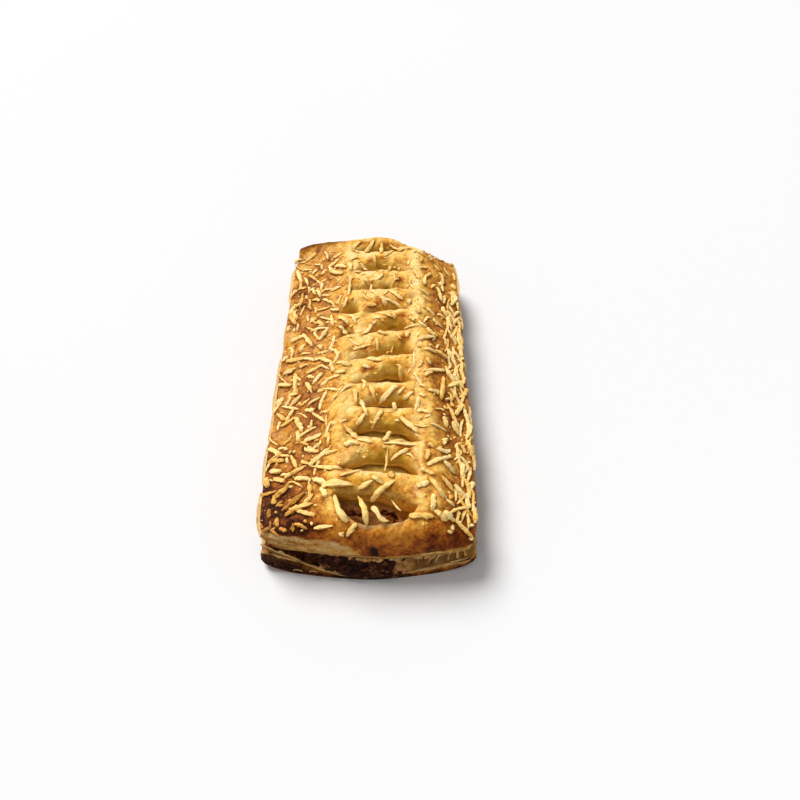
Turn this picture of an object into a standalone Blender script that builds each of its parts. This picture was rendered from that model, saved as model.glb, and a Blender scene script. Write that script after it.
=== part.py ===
"""A cheese pastry: two sheets of puff pastry round a cheese filling.

The top sheet has a ladder of slits down its middle, grated cheese baked on it, and
sides puffed into flakes. The filling shows in the slits and swells out at both ends.
Metres, +Z up, the long way along Y, the origin in the middle of the underside.
"""

import math
import random
from typing import NamedTuple

import bmesh
import bpy
from mathutils import Vector, noise

# Whole slab
WIDTH = 0.0760  # across, between the long edges
LENGTH = 0.1374  # along, between the corners
EDGE_PULL = 0.012  # share of the half size by which the outline rounds off
CORNER_CUT = 0.0012  # how far the very corner draws in, each way
SIDE_WAVE = 0.0007  # how far a long side wanders from a straight line
SEAM_HEIGHT = 0.0064  # where the two sheets meet on the long sides
EDGE_HEIGHT = 0.0156  # upper edge of the long sides
CROWN_HEIGHT = 0.0238  # plateau over the filling
BOW_PEAK = 0.1  # where the ends reach furthest, as a share of the half width
BOW_POWER = 1.4
GAP = 0.0004  # between pieces that touch
HIDDEN_FADE = 0.020  # distance from an end over which the inner faces take its heights

# Lattices that the pieces are shaped from
COLUMNS = 16
ROWS = 38
TOP_LAYERS = 4
BASE_LAYERS = 3
FILLING_LAYERS = 2
STRAIGHT_ROWS = 12  # rows each side of the middle over which hidden faces run straight
ROW_STEP = 4  # every so many of these rows is kept

# Top sheet
ROOF_THICKNESS = 0.0048  # over the filling
ROOF_SLOPE = 0.10  # how much the ceiling falls for each unit across
RIDGE_HEIGHT = 0.0009  # pale ridge to the right of the slits
RIDGE_WIDTH = 0.0024
RIDGE_AT = 0.0215
RIDGE_SLANT = -0.040  # how far the ridge drifts across for each unit along
SLIT_DIP = 0.0026  # how deep the sheet dips towards a slit
SLIT_DIP_WIDTH = 0.0033
SLIT_MARGIN = 0.003  # over which the dip fades out past a slit's ends
BLISTER = 0.0006  # uneven puffing
RELIEF_FADE = 0.010  # distance from an end over which ridge and blisters fade out
FLAKE = 0.0009  # how far a flaky layer stands out of a side
GROOVE = 0.0014  # how far the sheets draw in at their seam
TOP_TUCK = 0.0004  # how far the upper edge draws in

# Plugs that cut the slits
CUTTER_SIDES = 14
CUTTER_DEPTH = 0.024
CUTTER_MIDDLE = 0.021  # height of its middle over the table
CUTTER_FOOT = 0.82  # its lower end, as a share of the slit's own size
CUTTER_HEAD = 1.12

# Bottom sheet
FLOOR_HEIGHT = 0.0026  # under the filling
CORNER_LIFT = 0.0034  # how far a baked corner curls off the table
BASE_TUCK = 0.0010  # how far the underside draws in from the long edges
BASE_SPREAD = 0.0008  # how far the bottom sheet stands out past the top one
LEAN = 0.45  # how far the end faces lean in, for each unit of height

# Filling
FILLING_SHARE = 0.75  # of the width
FILLING_BELLY = 0.0009  # how far its end swells past a straight slope
FILLING_LOW_INSET = 0.0004  # how far its lower edge stays inside the bottom sheet
FILLING_HIGH_INSET = 0.0006

# Open pocket at the right of the near end, with thin webs of baked pastry in it
POCKET_LEFT = 0.016
POCKET_RIGHT = 0.0320
POCKET_DEPTH = 0.009
WEB_COUNT = 6
WEB_THICKNESS = 0.0007
WEB_DEPTH = 0.0026
WEB_MARGIN = 0.001  # between the first web and the filling
WEB_INSET = 0.0030  # how far inside the top sheet's edge the webs stand
WEB_LEAN = 0.0016
WEB_ROOT = 0.0009  # how far a web reaches into the top sheet

# Grated cheese
SHRED_SEED = 31
SHRED_LENGTH = (0.0042, 0.0098)
SHRED_WIDTH = (0.0014, 0.0022)
SHRED_THICKNESS = (0.0013, 0.0017)
SHRED_SEGMENTS = 2
SHRED_TRIES = 6000
SHRED_TAPER = 0.45
SHRED_SINK = 0.30  # height of its middle line over the sheet, in thicknesses
SHRED_EDGE = 0.0012  # how far it stays inside the long edges
SLIT_CLEARANCE = 0.001  # between a scattered shred's middle and a slit
BRIDGE_WIDTH = 0.0018
BRIDGE_THICKNESS = 0.0015


class Outline(NamedTuple):
    """How far a sheet's end stands past the corner line."""

    left: float
    right: float
    bow: float  # more than that, at its peak


class End(NamedTuple):
    """One short end. Three heights run left, middle, right."""

    top: Outline
    base: Outline
    lip: tuple  # upper edge of the top sheet
    under: tuple  # lower edge of the top sheet
    rim: tuple  # upper edge of the bottom sheet
    roll: float  # length over which the top rolls down to its lip


class Slit(NamedTuple):
    """One opening in the top sheet."""

    along: float
    left: float
    right: float
    opening: float
    tilt: float


class Zone(NamedTuple):
    """One stretch of the top where grated cheese lies."""

    left: float
    right: float
    near: float
    far: float
    count: int
    spacing: float


NEAR = End(
    top=Outline(-0.0006, 0.0014, 0.0040),
    base=Outline(0.0014, 0.0006, 0.0078),
    lip=(0.0168, 0.0102, 0.0128),
    under=(0.0074, 0.0080, 0.0104),
    rim=(0.0066, 0.0017, 0.0032),
    roll=0.015,
)
FAR = End(
    top=Outline(0.0024, -0.0008, 0.0046),
    base=Outline(0.0010, 0.0010, 0.0078),
    lip=(0.0200, 0.0232, 0.0124),
    under=(0.0096, 0.0170, 0.0078),
    rim=(0.0060, 0.0018, 0.0060),
    roll=0.009,
)

SLITS = (
    Slit(0.0672, -0.0085, 0.0112, 0.0024, 0.0),
    Slit(0.0548, -0.0075, 0.0137, 0.0028, 0.0),
    Slit(0.0428, -0.0126, 0.0150, 0.0022, 0.03),
    Slit(0.0290, -0.0130, -0.0058, 0.0026, 0.10),
    Slit(0.0302, -0.0020, 0.0143, 0.0022, 0.06),
    Slit(0.0168, -0.0135, -0.0068, 0.0022, 0.08),
    Slit(0.0190, -0.0036, 0.0147, 0.0032, 0.10),
    Slit(0.0058, -0.0076, 0.0164, 0.0034, 0.06),
    Slit(-0.0062, -0.0071, 0.0154, 0.0046, 0.05),
    Slit(-0.0190, -0.0052, 0.0165, 0.0036, 0.0),
    Slit(-0.0318, -0.0074, 0.0182, 0.0072, -0.10),
    Slit(-0.0456, -0.0073, 0.0172, 0.0068, -0.04),
    Slit(-0.0604, -0.0104, 0.0160, 0.0118, -0.02),
)

ZONES = (
    Zone(-0.0345, -0.0150, -0.0640, 0.0650, 62, 0.0038),
    Zone(-0.0310, -0.0180, -0.0620, -0.0420, 7, 0.0018),
    Zone(0.0330, 0.0360, -0.0600, 0.0560, 17, 0.0050),
    Zone(0.0190, 0.0320, -0.0620, 0.0620, 20, 0.0052),
    Zone(-0.0120, 0.0170, -0.0630, 0.0650, 18, 0.0062),
)

# Shreds that lie across a slit: along, across, heading from +X in degrees, length
BRIDGES = (
    (-0.0590, -0.0085, 112.0, 0.0125),
    (-0.0585, -0.0005, 106.0, 0.0130),
    (-0.0604, 0.0056, 110.0, 0.0158),
    (-0.0440, 0.0060, 82.0, 0.0085),
    (-0.0310, -0.0090, 128.0, 0.0080),
    (-0.0320, 0.0070, 74.0, 0.0075),
    (-0.0160, -0.0030, 116.0, 0.0095),
    (0.0075, 0.0080, 70.0, 0.0070),
    (0.0455, -0.0085, 92.0, 0.0110),
    (0.0430, 0.0010, 90.0, 0.0070),
    (0.0680, -0.0015, 62.0, 0.0090),
    (-0.0655, 0.0150, 14.0, 0.0105),
)


# Small maths


def smooth(low, high, value):
    """0 below low, 1 above high, and a smooth step between."""
    share = min(1.0, max(0.0, (value - low) / (high - low)))
    return share * share * (3.0 - 2.0 * share)


def mix(first, second, share):
    """The value that far from first to second."""
    return first + (second - first) * share


def three_way(values, across):
    """Left, middle and right values joined smoothly over across, -1 to 1."""
    left, middle, right = values
    outer = left if across < 0.0 else right
    return mix(middle, outer, smooth(0.2, 0.95, abs(across)))


def grain(x, y, scale, layer=0.0):
    """Smooth noise, about -1 to 1, with bumps of the given size."""
    return noise.noise(Vector((x / scale, y / scale, layer)))


# Heights of the sheets over the table


def end_at(y):
    """The end that a point is nearer to."""
    return NEAR if y < 0.0 else FAR


def reach(outline, across):
    """How far an end stands past the corner line, at a share of the half width."""
    from_peak = min(1.0, abs(across - BOW_PEAK) / (1.0 + BOW_PEAK))
    corners = mix(outline.left, outline.right, (across + 1.0) / 2)
    return corners + outline.bow * (1.0 - from_peak**BOW_POWER)


def end_share(x, y, length, outline):
    """0 away from an end, rising to 1 at its edge over the given length."""
    edge = LENGTH / 2 + reach(outline, x / (WIDTH / 2))
    return min(1.0, max(0.0, (abs(y) - edge + length) / length))


def plateau(x, y):
    """Top sheet without slits or blisters: side strips, raised middle and rolled ends."""
    across = x / (WIDTH / 2)
    end = end_at(y)
    left_rise = 0.55 * smooth(-1.0, -0.5, across) + 0.45 * smooth(-0.52, -0.26, across)
    right_fall = 1.0 - smooth(0.50, 1.04, across)
    height = mix(EDGE_HEIGHT, CROWN_HEIGHT, min(left_rise, right_fall))
    share = end_share(x, y, end.roll, end.top)
    roll = 1.0 - (1.0 - share**2.4) ** 0.55
    return mix(height, three_way(end.lip, across), roll)


def in_column(x, slit):
    """1 inside a slit's span across, 0 past its ends."""
    return smooth(slit.left - SLIT_MARGIN, slit.left + SLIT_MARGIN, x) * (
        1.0 - smooth(slit.right - SLIT_MARGIN, slit.right + SLIT_MARGIN, x)
    )


def roof(x, y):
    """Upper face of the top sheet."""
    ridge_from = (x - RIDGE_AT - RIDGE_SLANT * y) / RIDGE_WIDTH
    ridge = RIDGE_HEIGHT * math.exp(-ridge_from * ridge_from)
    inland = 1.0 - end_share(x, y, RELIEF_FADE, end_at(y).top)
    dip = 0.0
    for slit in SLITS:
        middle = slit.along + slit.tilt * (x - (slit.left + slit.right) / 2)
        spread = SLIT_DIP_WIDTH + slit.opening / 2
        away = (y - middle) / spread
        dip = max(dip, SLIT_DIP * math.exp(-away * away) * in_column(x, slit))
    blister = BLISTER * (grain(x, y, 0.011) + 0.6 * grain(x, y, 0.005, 4.0))
    return plateau(x, y) + inland * (ridge + blister) - dip


def ceiling(x, y):
    """Lower face of the top sheet."""
    across = x / (WIDTH / 2)
    end = end_at(y)
    inner = CROWN_HEIGHT - ROOF_THICKNESS - ROOF_SLOPE * abs(x)
    body = mix(inner, SEAM_HEIGHT + GAP, smooth(0.58, 0.80, abs(across)))
    share = end_share(x, y, HIDDEN_FADE, end.top)
    height = mix(body, three_way(end.under, across), smooth(0.0, 0.9, share))
    return mix(height, SEAM_HEIGHT + GAP, smooth(0.88, 0.97, abs(across)))


def floor(x, y):
    """Upper face of the bottom sheet."""
    across = x / (WIDTH / 2)
    end = end_at(y)
    body = mix(FLOOR_HEIGHT, SEAM_HEIGHT, smooth(0.54, 0.78, abs(across)))
    share = end_share(x, y, HIDDEN_FADE, end.base)
    height = mix(body, three_way(end.rim, across), smooth(0.0, 0.9, share))
    return mix(height, SEAM_HEIGHT, smooth(0.88, 0.97, abs(across)))


def underside(x, y):
    """Lower face of the bottom sheet: flat, with the four corners curled up."""
    across = abs(x) / (WIDTH / 2)
    along = abs(y) / (LENGTH / 2)
    return CORNER_LIFT * smooth(0.62, 1.08, across) * smooth(0.86, 1.04, along)


def plan(u, v, outline, inset=0.0):
    """Place of a lattice point seen from above, with rounded corners and bowed ends."""
    corner = CORNER_CUT * (u * v) ** 12
    x = u * WIDTH / 2 * (1.0 - EDGE_PULL * v**12)
    y = v * LENGTH / 2 * (1.0 - EDGE_PULL * u**12)
    edge = abs(v) ** 6 * (reach(outline, u) - inset)
    return x - math.copysign(corner, u), y + math.copysign(edge - corner, v)


# Building blocks


def lattice_block(columns, rows, layers):
    """A block from -1 to 1 each way, its faces cut into a lattice."""
    mesh = bmesh.new()
    bmesh.ops.create_cube(mesh, size=2.0)
    for axis, count in enumerate((columns, rows, layers)):
        normal = Vector((0.0, 0.0, 0.0))
        normal[axis] = 1.0
        for step in range(1, count):
            bmesh.ops.bisect_plane(
                mesh,
                geom=mesh.verts[:] + mesh.edges[:] + mesh.faces[:],
                plane_co=normal * (2.0 * step / count - 1.0),
                plane_no=normal,
            )
    return mesh


def merge_rows(mesh, levels, widest):
    """Takes out cross edges of the faces at these levels where they run straight."""

    def is_spare(edge):
        first, last = (point.co for point in edge.verts)
        row = round(first.y * ROWS / 2)
        return (
            abs(first.y - last.y) < 1e-6
            and abs(row) < STRAIGHT_ROWS
            and row % ROW_STEP != 0
            and any(abs(first.z - level) + abs(last.z - level) < 1e-6 for level in levels)
            and max(abs(first.x), abs(last.x)) < widest + 1e-6
        )

    spare = [edge for edge in mesh.edges if is_spare(edge)]
    bmesh.ops.dissolve_edges(mesh, edges=spare, use_verts=True)


def shaped_object(name, mesh, shape, collection, material):
    """An object from a lattice block whose points are moved by shape(u, v, w)."""
    for point in mesh.verts:
        point.co = shape(*point.co)
    bmesh.ops.dissolve_limit(
        mesh,
        angle_limit=math.radians(0.01),
        verts=mesh.verts[:],
        edges=mesh.edges[:],
    )
    bmesh.ops.triangulate(mesh, faces=mesh.faces[:], quad_method="SHORT_EDGE")
    bmesh.ops.recalc_face_normals(mesh, faces=mesh.faces[:])
    data = bpy.data.meshes.new(name)
    mesh.to_mesh(data)
    mesh.free()
    data.materials.append(material)
    piece = bpy.data.objects.new(name, data)
    collection.objects.link(piece)
    return piece


def finish(name, colour, roughness):
    """A plain baked finish."""
    material = bpy.data.materials.new(name)
    material.use_nodes = True
    shader = material.node_tree.nodes["Principled BSDF"]
    shader.inputs["Base Color"].default_value = (*colour, 1.0)
    shader.inputs["Roughness"].default_value = roughness
    shader.inputs["Metallic"].default_value = 0.0
    return material


def new_collection(name):
    """A collection linked to the scene."""
    collection = bpy.data.collections.new(name)
    bpy.context.scene.collection.children.link(collection)
    return collection


def apply_boolean(piece, operation, operands):
    """Cuts or joins a whole collection at once, and removes its objects."""
    modifier = piece.modifiers.new(operation.lower(), "BOOLEAN")
    modifier.operation = operation
    modifier.operand_type = "COLLECTION"
    modifier.collection = operands
    modifier.solver = "EXACT"
    modifier.material_mode = "TRANSFER"
    with bpy.context.temp_override(object=piece, active_object=piece):
        bpy.ops.object.modifier_apply(modifier=modifier.name)
    for operand in list(operands.objects):
        bpy.data.objects.remove(operand)
    bpy.data.collections.remove(operands)


def keep_largest_body(piece):
    """Drops loose scraps and fills sealed hollows: only the largest shell stays."""
    mesh = bmesh.new()
    mesh.from_mesh(piece.data)
    bmesh.ops.remove_doubles(mesh, verts=mesh.verts[:], dist=0.000001)
    bmesh.ops.triangulate(mesh, faces=mesh.faces[:])
    waiting = set(mesh.faces)
    shells = []
    while waiting:
        shell = {waiting.pop()}
        frontier = list(shell)
        while frontier:
            face = frontier.pop()
            for edge in face.edges:
                for neighbour in edge.link_faces:
                    if neighbour in waiting:
                        waiting.remove(neighbour)
                        shell.add(neighbour)
                        frontier.append(neighbour)
        shells.append(shell)
    shells.sort(key=len)
    for shell in shells[:-1]:
        bmesh.ops.delete(mesh, geom=list(shell), context="FACES")
    mesh.to_mesh(piece.data)
    mesh.free()


# Pieces


def side_wave(y, u):
    """How far a long side stands out of a straight line at a place along it."""
    corner = smooth(0.85, 1.0, abs(y) * 2 / LENGTH)
    return SIDE_WAVE * (grain(y, 0.0, 0.028, 2.0 * u) - 0.5 * corner)


def side_flake(u, y, w, layer_seed):
    """How far a side layer stands out or draws back, on the outer wall only."""
    if abs(u) < 0.999:
        return 0.0
    rough = grain(y, 7.0 * w + layer_seed, 0.006, 3.0 * u) + 0.7 * grain(
        y, 11.0 * w, 0.0025, layer_seed
    )
    return math.copysign(FLAKE * max(-1.0, min(1.0, rough)), u)


def end_flake(v, x, w, layer_seed):
    """The same roughness on an end wall."""
    if abs(v) < 0.999:
        return 0.0
    rough = grain(x, 9.0 * w + layer_seed, 0.005, 5.0 * v)
    return math.copysign(0.6 * FLAKE * max(-1.0, min(1.0, rough)), v)


def top_sheet_shape(u, v, w):
    """Place of a lattice point of the top sheet."""
    x, y = plan(u, v, end_at(v).top)
    height = mix(ceiling(x, y), roof(x, y), (w + 1.0) / 2)
    wall = smooth(0.93, 1.0, abs(u))
    draw = GROOVE * smooth(-0.4, -1.0, w) + TOP_TUCK * smooth(0.4, 1.0, w)
    x -= math.copysign(wall * (draw - side_wave(y, u)), u)
    return x + side_flake(u, y, w, 1.0), y + end_flake(v, x, w, 1.0), height


def bottom_sheet_shape(u, v, w):
    """Place of a lattice point of the bottom sheet."""
    end = end_at(v)
    x, y = plan(u, v, end.base)
    height = mix(underside(x, y), floor(x, y), (w + 1.0) / 2)
    wall = smooth(0.93, 1.0, abs(u))
    draw = GROOVE * smooth(0.2, 1.0, w) + BASE_TUCK * smooth(0.2, -1.0, w) ** 2
    draw -= BASE_SPREAD
    lean = LEAN * (height - underside(x, y)) * abs(v) ** 30
    x -= math.copysign(wall * (draw - side_wave(y, u)), u)
    y -= math.copysign(lean, v)
    if w < -0.999:
        return x, y, height
    return x + side_flake(u, y, w, 2.0), y + end_flake(v, x, w, 2.0), height


def filling_shape(u, v, w):
    """Place of a lattice point of the filling."""
    end = end_at(v)
    across = u * FILLING_SHARE
    x_low, y_low = plan(across, v, end.base, FILLING_LOW_INSET)
    x_high, y_high = plan(across, v, end.top, FILLING_HIGH_INSET)
    in_pocket = smooth(POCKET_LEFT - 0.003, POCKET_LEFT + 0.002, x_low)
    in_pocket *= max(0.0, -v) ** 12
    y_low += POCKET_DEPTH * in_pocket
    y_high += POCKET_DEPTH * in_pocket
    clearance = GAP * (1.0 + 3.0 * min(1.0, 3.0 * in_pocket))
    low = floor(x_low, y_low) + clearance
    high = ceiling(x_high, y_high) - clearance
    share = (w + 1.0) / 2
    y_low -= math.copysign(LEAN * low * abs(v) ** 30, v)
    y = mix(y_low, y_high, share)
    y += math.copysign(FILLING_BELLY * (1.0 - w * w) * abs(v) ** 30, v)
    return mix(x_low, x_high, share), y, mix(low, high, share)


def make_slit_cutter(index, slit, collection):
    """An upright tapered plug with the slit's oval outline."""
    mesh = bmesh.new()
    bmesh.ops.create_cone(
        mesh,
        cap_ends=True,
        segments=CUTTER_SIDES,
        radius1=CUTTER_FOOT,
        radius2=CUTTER_HEAD,
        depth=CUTTER_DEPTH,
    )
    length = (slit.right - slit.left) / 2
    for point in mesh.verts:
        x, y = point.co.x * length, point.co.y * slit.opening / 2
        point.co.x = x + (slit.left + slit.right) / 2
        point.co.y = y + slit.along + slit.tilt * x
        point.co.z += CUTTER_MIDDLE
    data = bpy.data.meshes.new(f"slit_{index}")
    mesh.to_mesh(data)
    mesh.free()
    cutter = bpy.data.objects.new(f"slit_{index}", data)
    cutter.hide_render = True
    cutter.display_type = "WIRE"
    collection.objects.link(cutter)


class Shred(NamedTuple):
    """One strip of grated cheese lying on the top sheet."""

    x: float
    y: float
    heading: float
    length: float
    width: float
    thickness: float
    bend: float


def random_shred(draw, x, y):
    """A strip of random size and heading at a place."""
    return Shred(
        x,
        y,
        draw.uniform(0.0, math.pi),
        draw.uniform(*SHRED_LENGTH),
        draw.uniform(*SHRED_WIDTH),
        draw.uniform(*SHRED_THICKNESS),
        draw.uniform(-0.25, 0.25),
    )


def over_slit(x, y):
    """True where a slit opens under a point."""
    return any(
        slit.left < x < slit.right
        and abs(y - slit.along) < slit.opening / 2 + SLIT_CLEARANCE
        for slit in SLITS
    )


def scattered_shreds(draw):
    """Strips in every zone, spread evenly by keeping each clear of the last ones."""
    shreds = []
    for zone in ZONES:
        placed = []
        for _ in range(SHRED_TRIES):
            if len(placed) == zone.count:
                break
            x, y = draw.uniform(zone.left, zone.right), draw.uniform(zone.near, zone.far)
            clear = all(math.hypot(x - a, y - b) > zone.spacing for a, b in placed)
            if clear and not over_slit(x, y):
                placed.append((x, y))
                shreds.append(random_shred(draw, x, y))
    return shreds


def bridging_shreds(draw):
    """Long strips laid across the slits."""
    return [
        Shred(
            across,
            along,
            math.radians(angle),
            length,
            BRIDGE_WIDTH,
            BRIDGE_THICKNESS,
            draw.uniform(-0.15, 0.15),
        )
        for along, across, angle, length in BRIDGES
    ]


def make_shred(index, shred, collection, material):
    """A bent tapered strip that follows the sheet under it, half sunk in it."""

    def shape(u, v, w):
        taper = 1.0 - SHRED_TAPER * u * u
        along = u * shred.length / 2
        aside = shred.bend * (u * u - 0.5) * shred.length / 2
        aside += v * taper * shred.width / 2
        cosine, sine = math.cos(shred.heading), math.sin(shred.heading)
        x = shred.x + along * cosine - aside * sine
        y = shred.y + along * sine + aside * cosine
        x = max(-WIDTH / 2 + SHRED_EDGE, min(WIDTH / 2 - SHRED_EDGE, x))
        height = roof(x, y) + shred.thickness * (SHRED_SINK + w * taper / 2)
        return x, y, height

    mesh = lattice_block(SHRED_SEGMENTS, 1, 1)
    shaped_object(f"shred_{index}", mesh, shape, collection, material)


def make_web(index, collection, material):
    """A thin upright web of pastry between the lips of the open pocket."""
    share = (index + 0.5) / WEB_COUNT
    x_middle = mix(POCKET_LEFT + WEB_MARGIN, POCKET_RIGHT, share)
    y_middle = -LENGTH / 2 - reach(NEAR.top, x_middle / (WIDTH / 2)) + WEB_INSET
    lean = WEB_LEAN * math.sin(2.4 * index + 0.7)

    def shape(u, v, w):
        x = x_middle + u * WEB_THICKNESS / 2 * (1.0 + 0.5 * w * w) + lean * w
        y = y_middle + v * WEB_DEPTH / 2
        low = floor(x, y) + 1.5 * GAP
        high = ceiling(x, y) + WEB_ROOT
        return x, y, mix(low, high, (w + 1.0) / 2)

    mesh = lattice_block(1, 1, 2)
    shaped_object(f"web_{index}", mesh, shape, collection, material)


def make_top_sheet(collection, crust, cheese):
    """The slit sheet with its grated cheese and pocket webs fused on."""
    mesh = lattice_block(COLUMNS, ROWS, TOP_LAYERS)
    merge_rows(mesh, (-1.0,), 1.0 - 2.0 / COLUMNS)
    sheet = shaped_object("top_sheet", mesh, top_sheet_shape, collection, crust)
    slits = new_collection("slit_cutters")
    for index, slit in enumerate(SLITS):
        make_slit_cutter(index, slit, slits)
    apply_boolean(sheet, "DIFFERENCE", slits)
    draw = random.Random(SHRED_SEED)
    additions = new_collection("fused_pieces")
    for index, shred in enumerate(bridging_shreds(draw) + scattered_shreds(draw)):
        make_shred(index, shred, additions, cheese)
    for index in range(WEB_COUNT):
        make_web(index, additions, crust)
    apply_boolean(sheet, "UNION", additions)
    keep_largest_body(sheet)
    sheet.data.shade_smooth()
    sheet.data.set_sharp_from_angle(angle=math.radians(40))
    return sheet


def make_bottom_sheet(collection, crust):
    """The base sheet, flat underneath, with a puffed edge all round."""
    mesh = lattice_block(COLUMNS, ROWS, BASE_LAYERS)
    merge_rows(mesh, (-1.0, 1.0), 1.0 - 2.0 / COLUMNS)
    return shaped_object("bottom_sheet", mesh, bottom_sheet_shape, collection, crust)


def make_filling(collection, cheese):
    """The filling, from end to end between the two sheets."""
    columns = round(COLUMNS * FILLING_SHARE)
    mesh = lattice_block(columns, ROWS, FILLING_LAYERS)
    merge_rows(mesh, (-1.0, 1.0), 1.0)
    return shaped_object("filling", mesh, filling_shape, collection, cheese)


def main():
    """Builds the three pieces in one collection."""
    for old in list(bpy.data.objects):
        bpy.data.objects.remove(old)
    pastry = new_collection("cheese_pastry")
    golden = finish("golden_crust", (0.56, 0.27, 0.06), 0.45)
    browned = finish("browned_crust", (0.20, 0.08, 0.03), 0.6)
    custard = finish("cheese_filling", (0.62, 0.42, 0.10), 0.4)
    grated = finish("grated_cheese", (0.80, 0.58, 0.24), 0.55)
    make_bottom_sheet(pastry, browned)
    make_filling(pastry, custard)
    make_top_sheet(pastry, golden, grated)


main()
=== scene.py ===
"""Looks of a baked cheese pastry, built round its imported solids.

Metres, +Z up, the long way along Y, the origin in the middle of the underside.
"""

import logging
import math
import random
from collections.abc import Callable, Sequence
from dataclasses import dataclass, field
from enum import Enum

import bmesh
import bpy
import numpy as np
from mathutils import Matrix, Vector, noise
from mathutils.kdtree import KDTree


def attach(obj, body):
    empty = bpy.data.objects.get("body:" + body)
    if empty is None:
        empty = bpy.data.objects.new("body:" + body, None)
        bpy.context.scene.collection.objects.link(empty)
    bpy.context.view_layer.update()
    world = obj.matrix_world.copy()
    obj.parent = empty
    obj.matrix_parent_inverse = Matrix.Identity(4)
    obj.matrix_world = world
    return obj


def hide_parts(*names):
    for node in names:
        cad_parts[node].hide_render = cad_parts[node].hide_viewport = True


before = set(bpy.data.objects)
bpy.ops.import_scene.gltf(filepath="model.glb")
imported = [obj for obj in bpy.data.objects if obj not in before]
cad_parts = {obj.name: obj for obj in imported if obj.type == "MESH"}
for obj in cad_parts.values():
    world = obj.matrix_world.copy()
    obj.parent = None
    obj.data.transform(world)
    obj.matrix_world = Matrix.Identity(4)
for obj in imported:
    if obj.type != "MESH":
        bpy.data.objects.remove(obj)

LOG = logging.getLogger("cheese_pastry")
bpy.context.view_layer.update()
MM = 0.001
Array = np.ndarray
Pair = tuple[float, float]
Triple = tuple[float, float, float]
Colour = Triple
Material = bpy.types.Material
Object = bpy.types.Object


# Small maths


def smooth(low: float, high: float, value: Array) -> Array:
    """A smooth step between two values.

    Args:
        low: Where the step starts, with the result 0.
        high: Where it ends, with the result 1. It may be below low.
        value: The values to look up.

    Returns:
        The step at each value.
    """
    share = np.clip((value - low) / (high - low), 0.0, 1.0)
    return share * share * (3.0 - 2.0 * share)


def fade(low: float, high: float, value: Array) -> Array:
    """A smooth step between two places in millimetres."""
    return smooth(low * MM, high * MM, value)


def between(rise: Pair, fall: Pair, value: Array) -> Array:
    """1 between two smooth steps in millimetres, and 0 outside them."""
    return fade(*rise, value) * fade(*fall[::-1], value)


def mix(first: Array, second: Array, share: Array) -> Array:
    """The value that share of the way from first to second."""
    return first + (second - first) * share


def three_way(values: Triple, across: Array) -> Array:
    """Left, middle and right values joined smoothly.

    Args:
        values: The three values.
        across: Place between the long edges, -1 to 1.

    Returns:
        The value at each place.
    """
    left, middle, right = values
    outer = np.where(across < 0.0, left, right)
    return mix(middle, outer, smooth(0.2, 0.95, np.abs(across)))


def grain(x: Array, y: Array, scale: float, layer: Array | float = 0.0) -> Array:
    """Smooth noise, about -1 to 1.

    Args:
        x: Places across, in metres.
        y: Places along, in metres.
        scale: Size of a bump.
        layer: Picks one of many such patterns.

    Returns:
        The noise at each place.
    """
    across, along, deep = np.broadcast_arrays(x / scale, y / scale, layer)
    spots = np.stack((across, along, deep), -1).reshape(-1, 3).tolist()
    return np.array([noise.noise(spot) for spot in spots]).reshape(across.shape)


def hill(away: Array, width: float) -> Array:
    """1 where away is 0, fading to 0 both ways."""
    return np.exp(-((away / width) ** 2))


def bell(x: Array, y: Array, middle: Pair, spread: Pair) -> Array:
    """A soft round patch.

    Args:
        x: Places across.
        y: Places along.
        middle: Its middle, across and along.
        spread: Its half sizes, across and along.

    Returns:
        1 in the middle, fading to 0 outside.
    """
    away = ((x - middle[0]) / spread[0]) ** 2 + ((y - middle[1]) / spread[1]) ** 2
    return np.exp(-away)


# The form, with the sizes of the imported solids


@dataclass(frozen=True)
class Outline:
    """How far a sheet's end stands past the corner line."""

    left: float
    right: float
    bow: float
    peak: float = 0.1
    power: float = 1.4
    dome: float = 0.0
    dome_width: float = 0.27

    def reach(self, across: Array) -> Array:
        """How far it stands out.

        Args:
            across: Places between the long edges, -1 to 1.

        Returns:
            The distance at each place.
        """
        from_peak = np.minimum(1, np.abs(across - self.peak) / (1 + self.peak))
        corners = mix(self.left, self.right, (across + 1.0) / 2)
        dome = self.dome * hill(across - self.peak, self.dome_width)
        return corners + self.bow * (1 - from_peak**self.power) + dome


@dataclass(frozen=True)
class End:
    """One short end. Three heights run left, middle, right."""

    top: Outline
    base: Outline
    lip: Triple
    under: Triple
    rim: Triple
    roll: float


NEAR = End(
    top=Outline(-0.0006, 0.0014, 0.0040),
    base=Outline(0.0044, 0.0034, 0.0050, peak=0.04, power=1.6),
    lip=(0.0168, 0.0102, 0.0128),
    under=(0.0074, 0.0080, 0.0104),
    rim=(0.0082, 0.0018, 0.0034),
    roll=0.015,
)
FAR = End(
    top=Outline(0.0064, -0.0006, 0.0012, peak=0.08, power=1.3, dome=0.0034),
    base=Outline(0.0010, 0.0010, 0.0078),
    lip=(0.0200, 0.0232, 0.0124),
    under=(0.0096, 0.0170, 0.0078),
    rim=(0.0060, 0.0018, 0.0060),
    roll=0.009,
)


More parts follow.
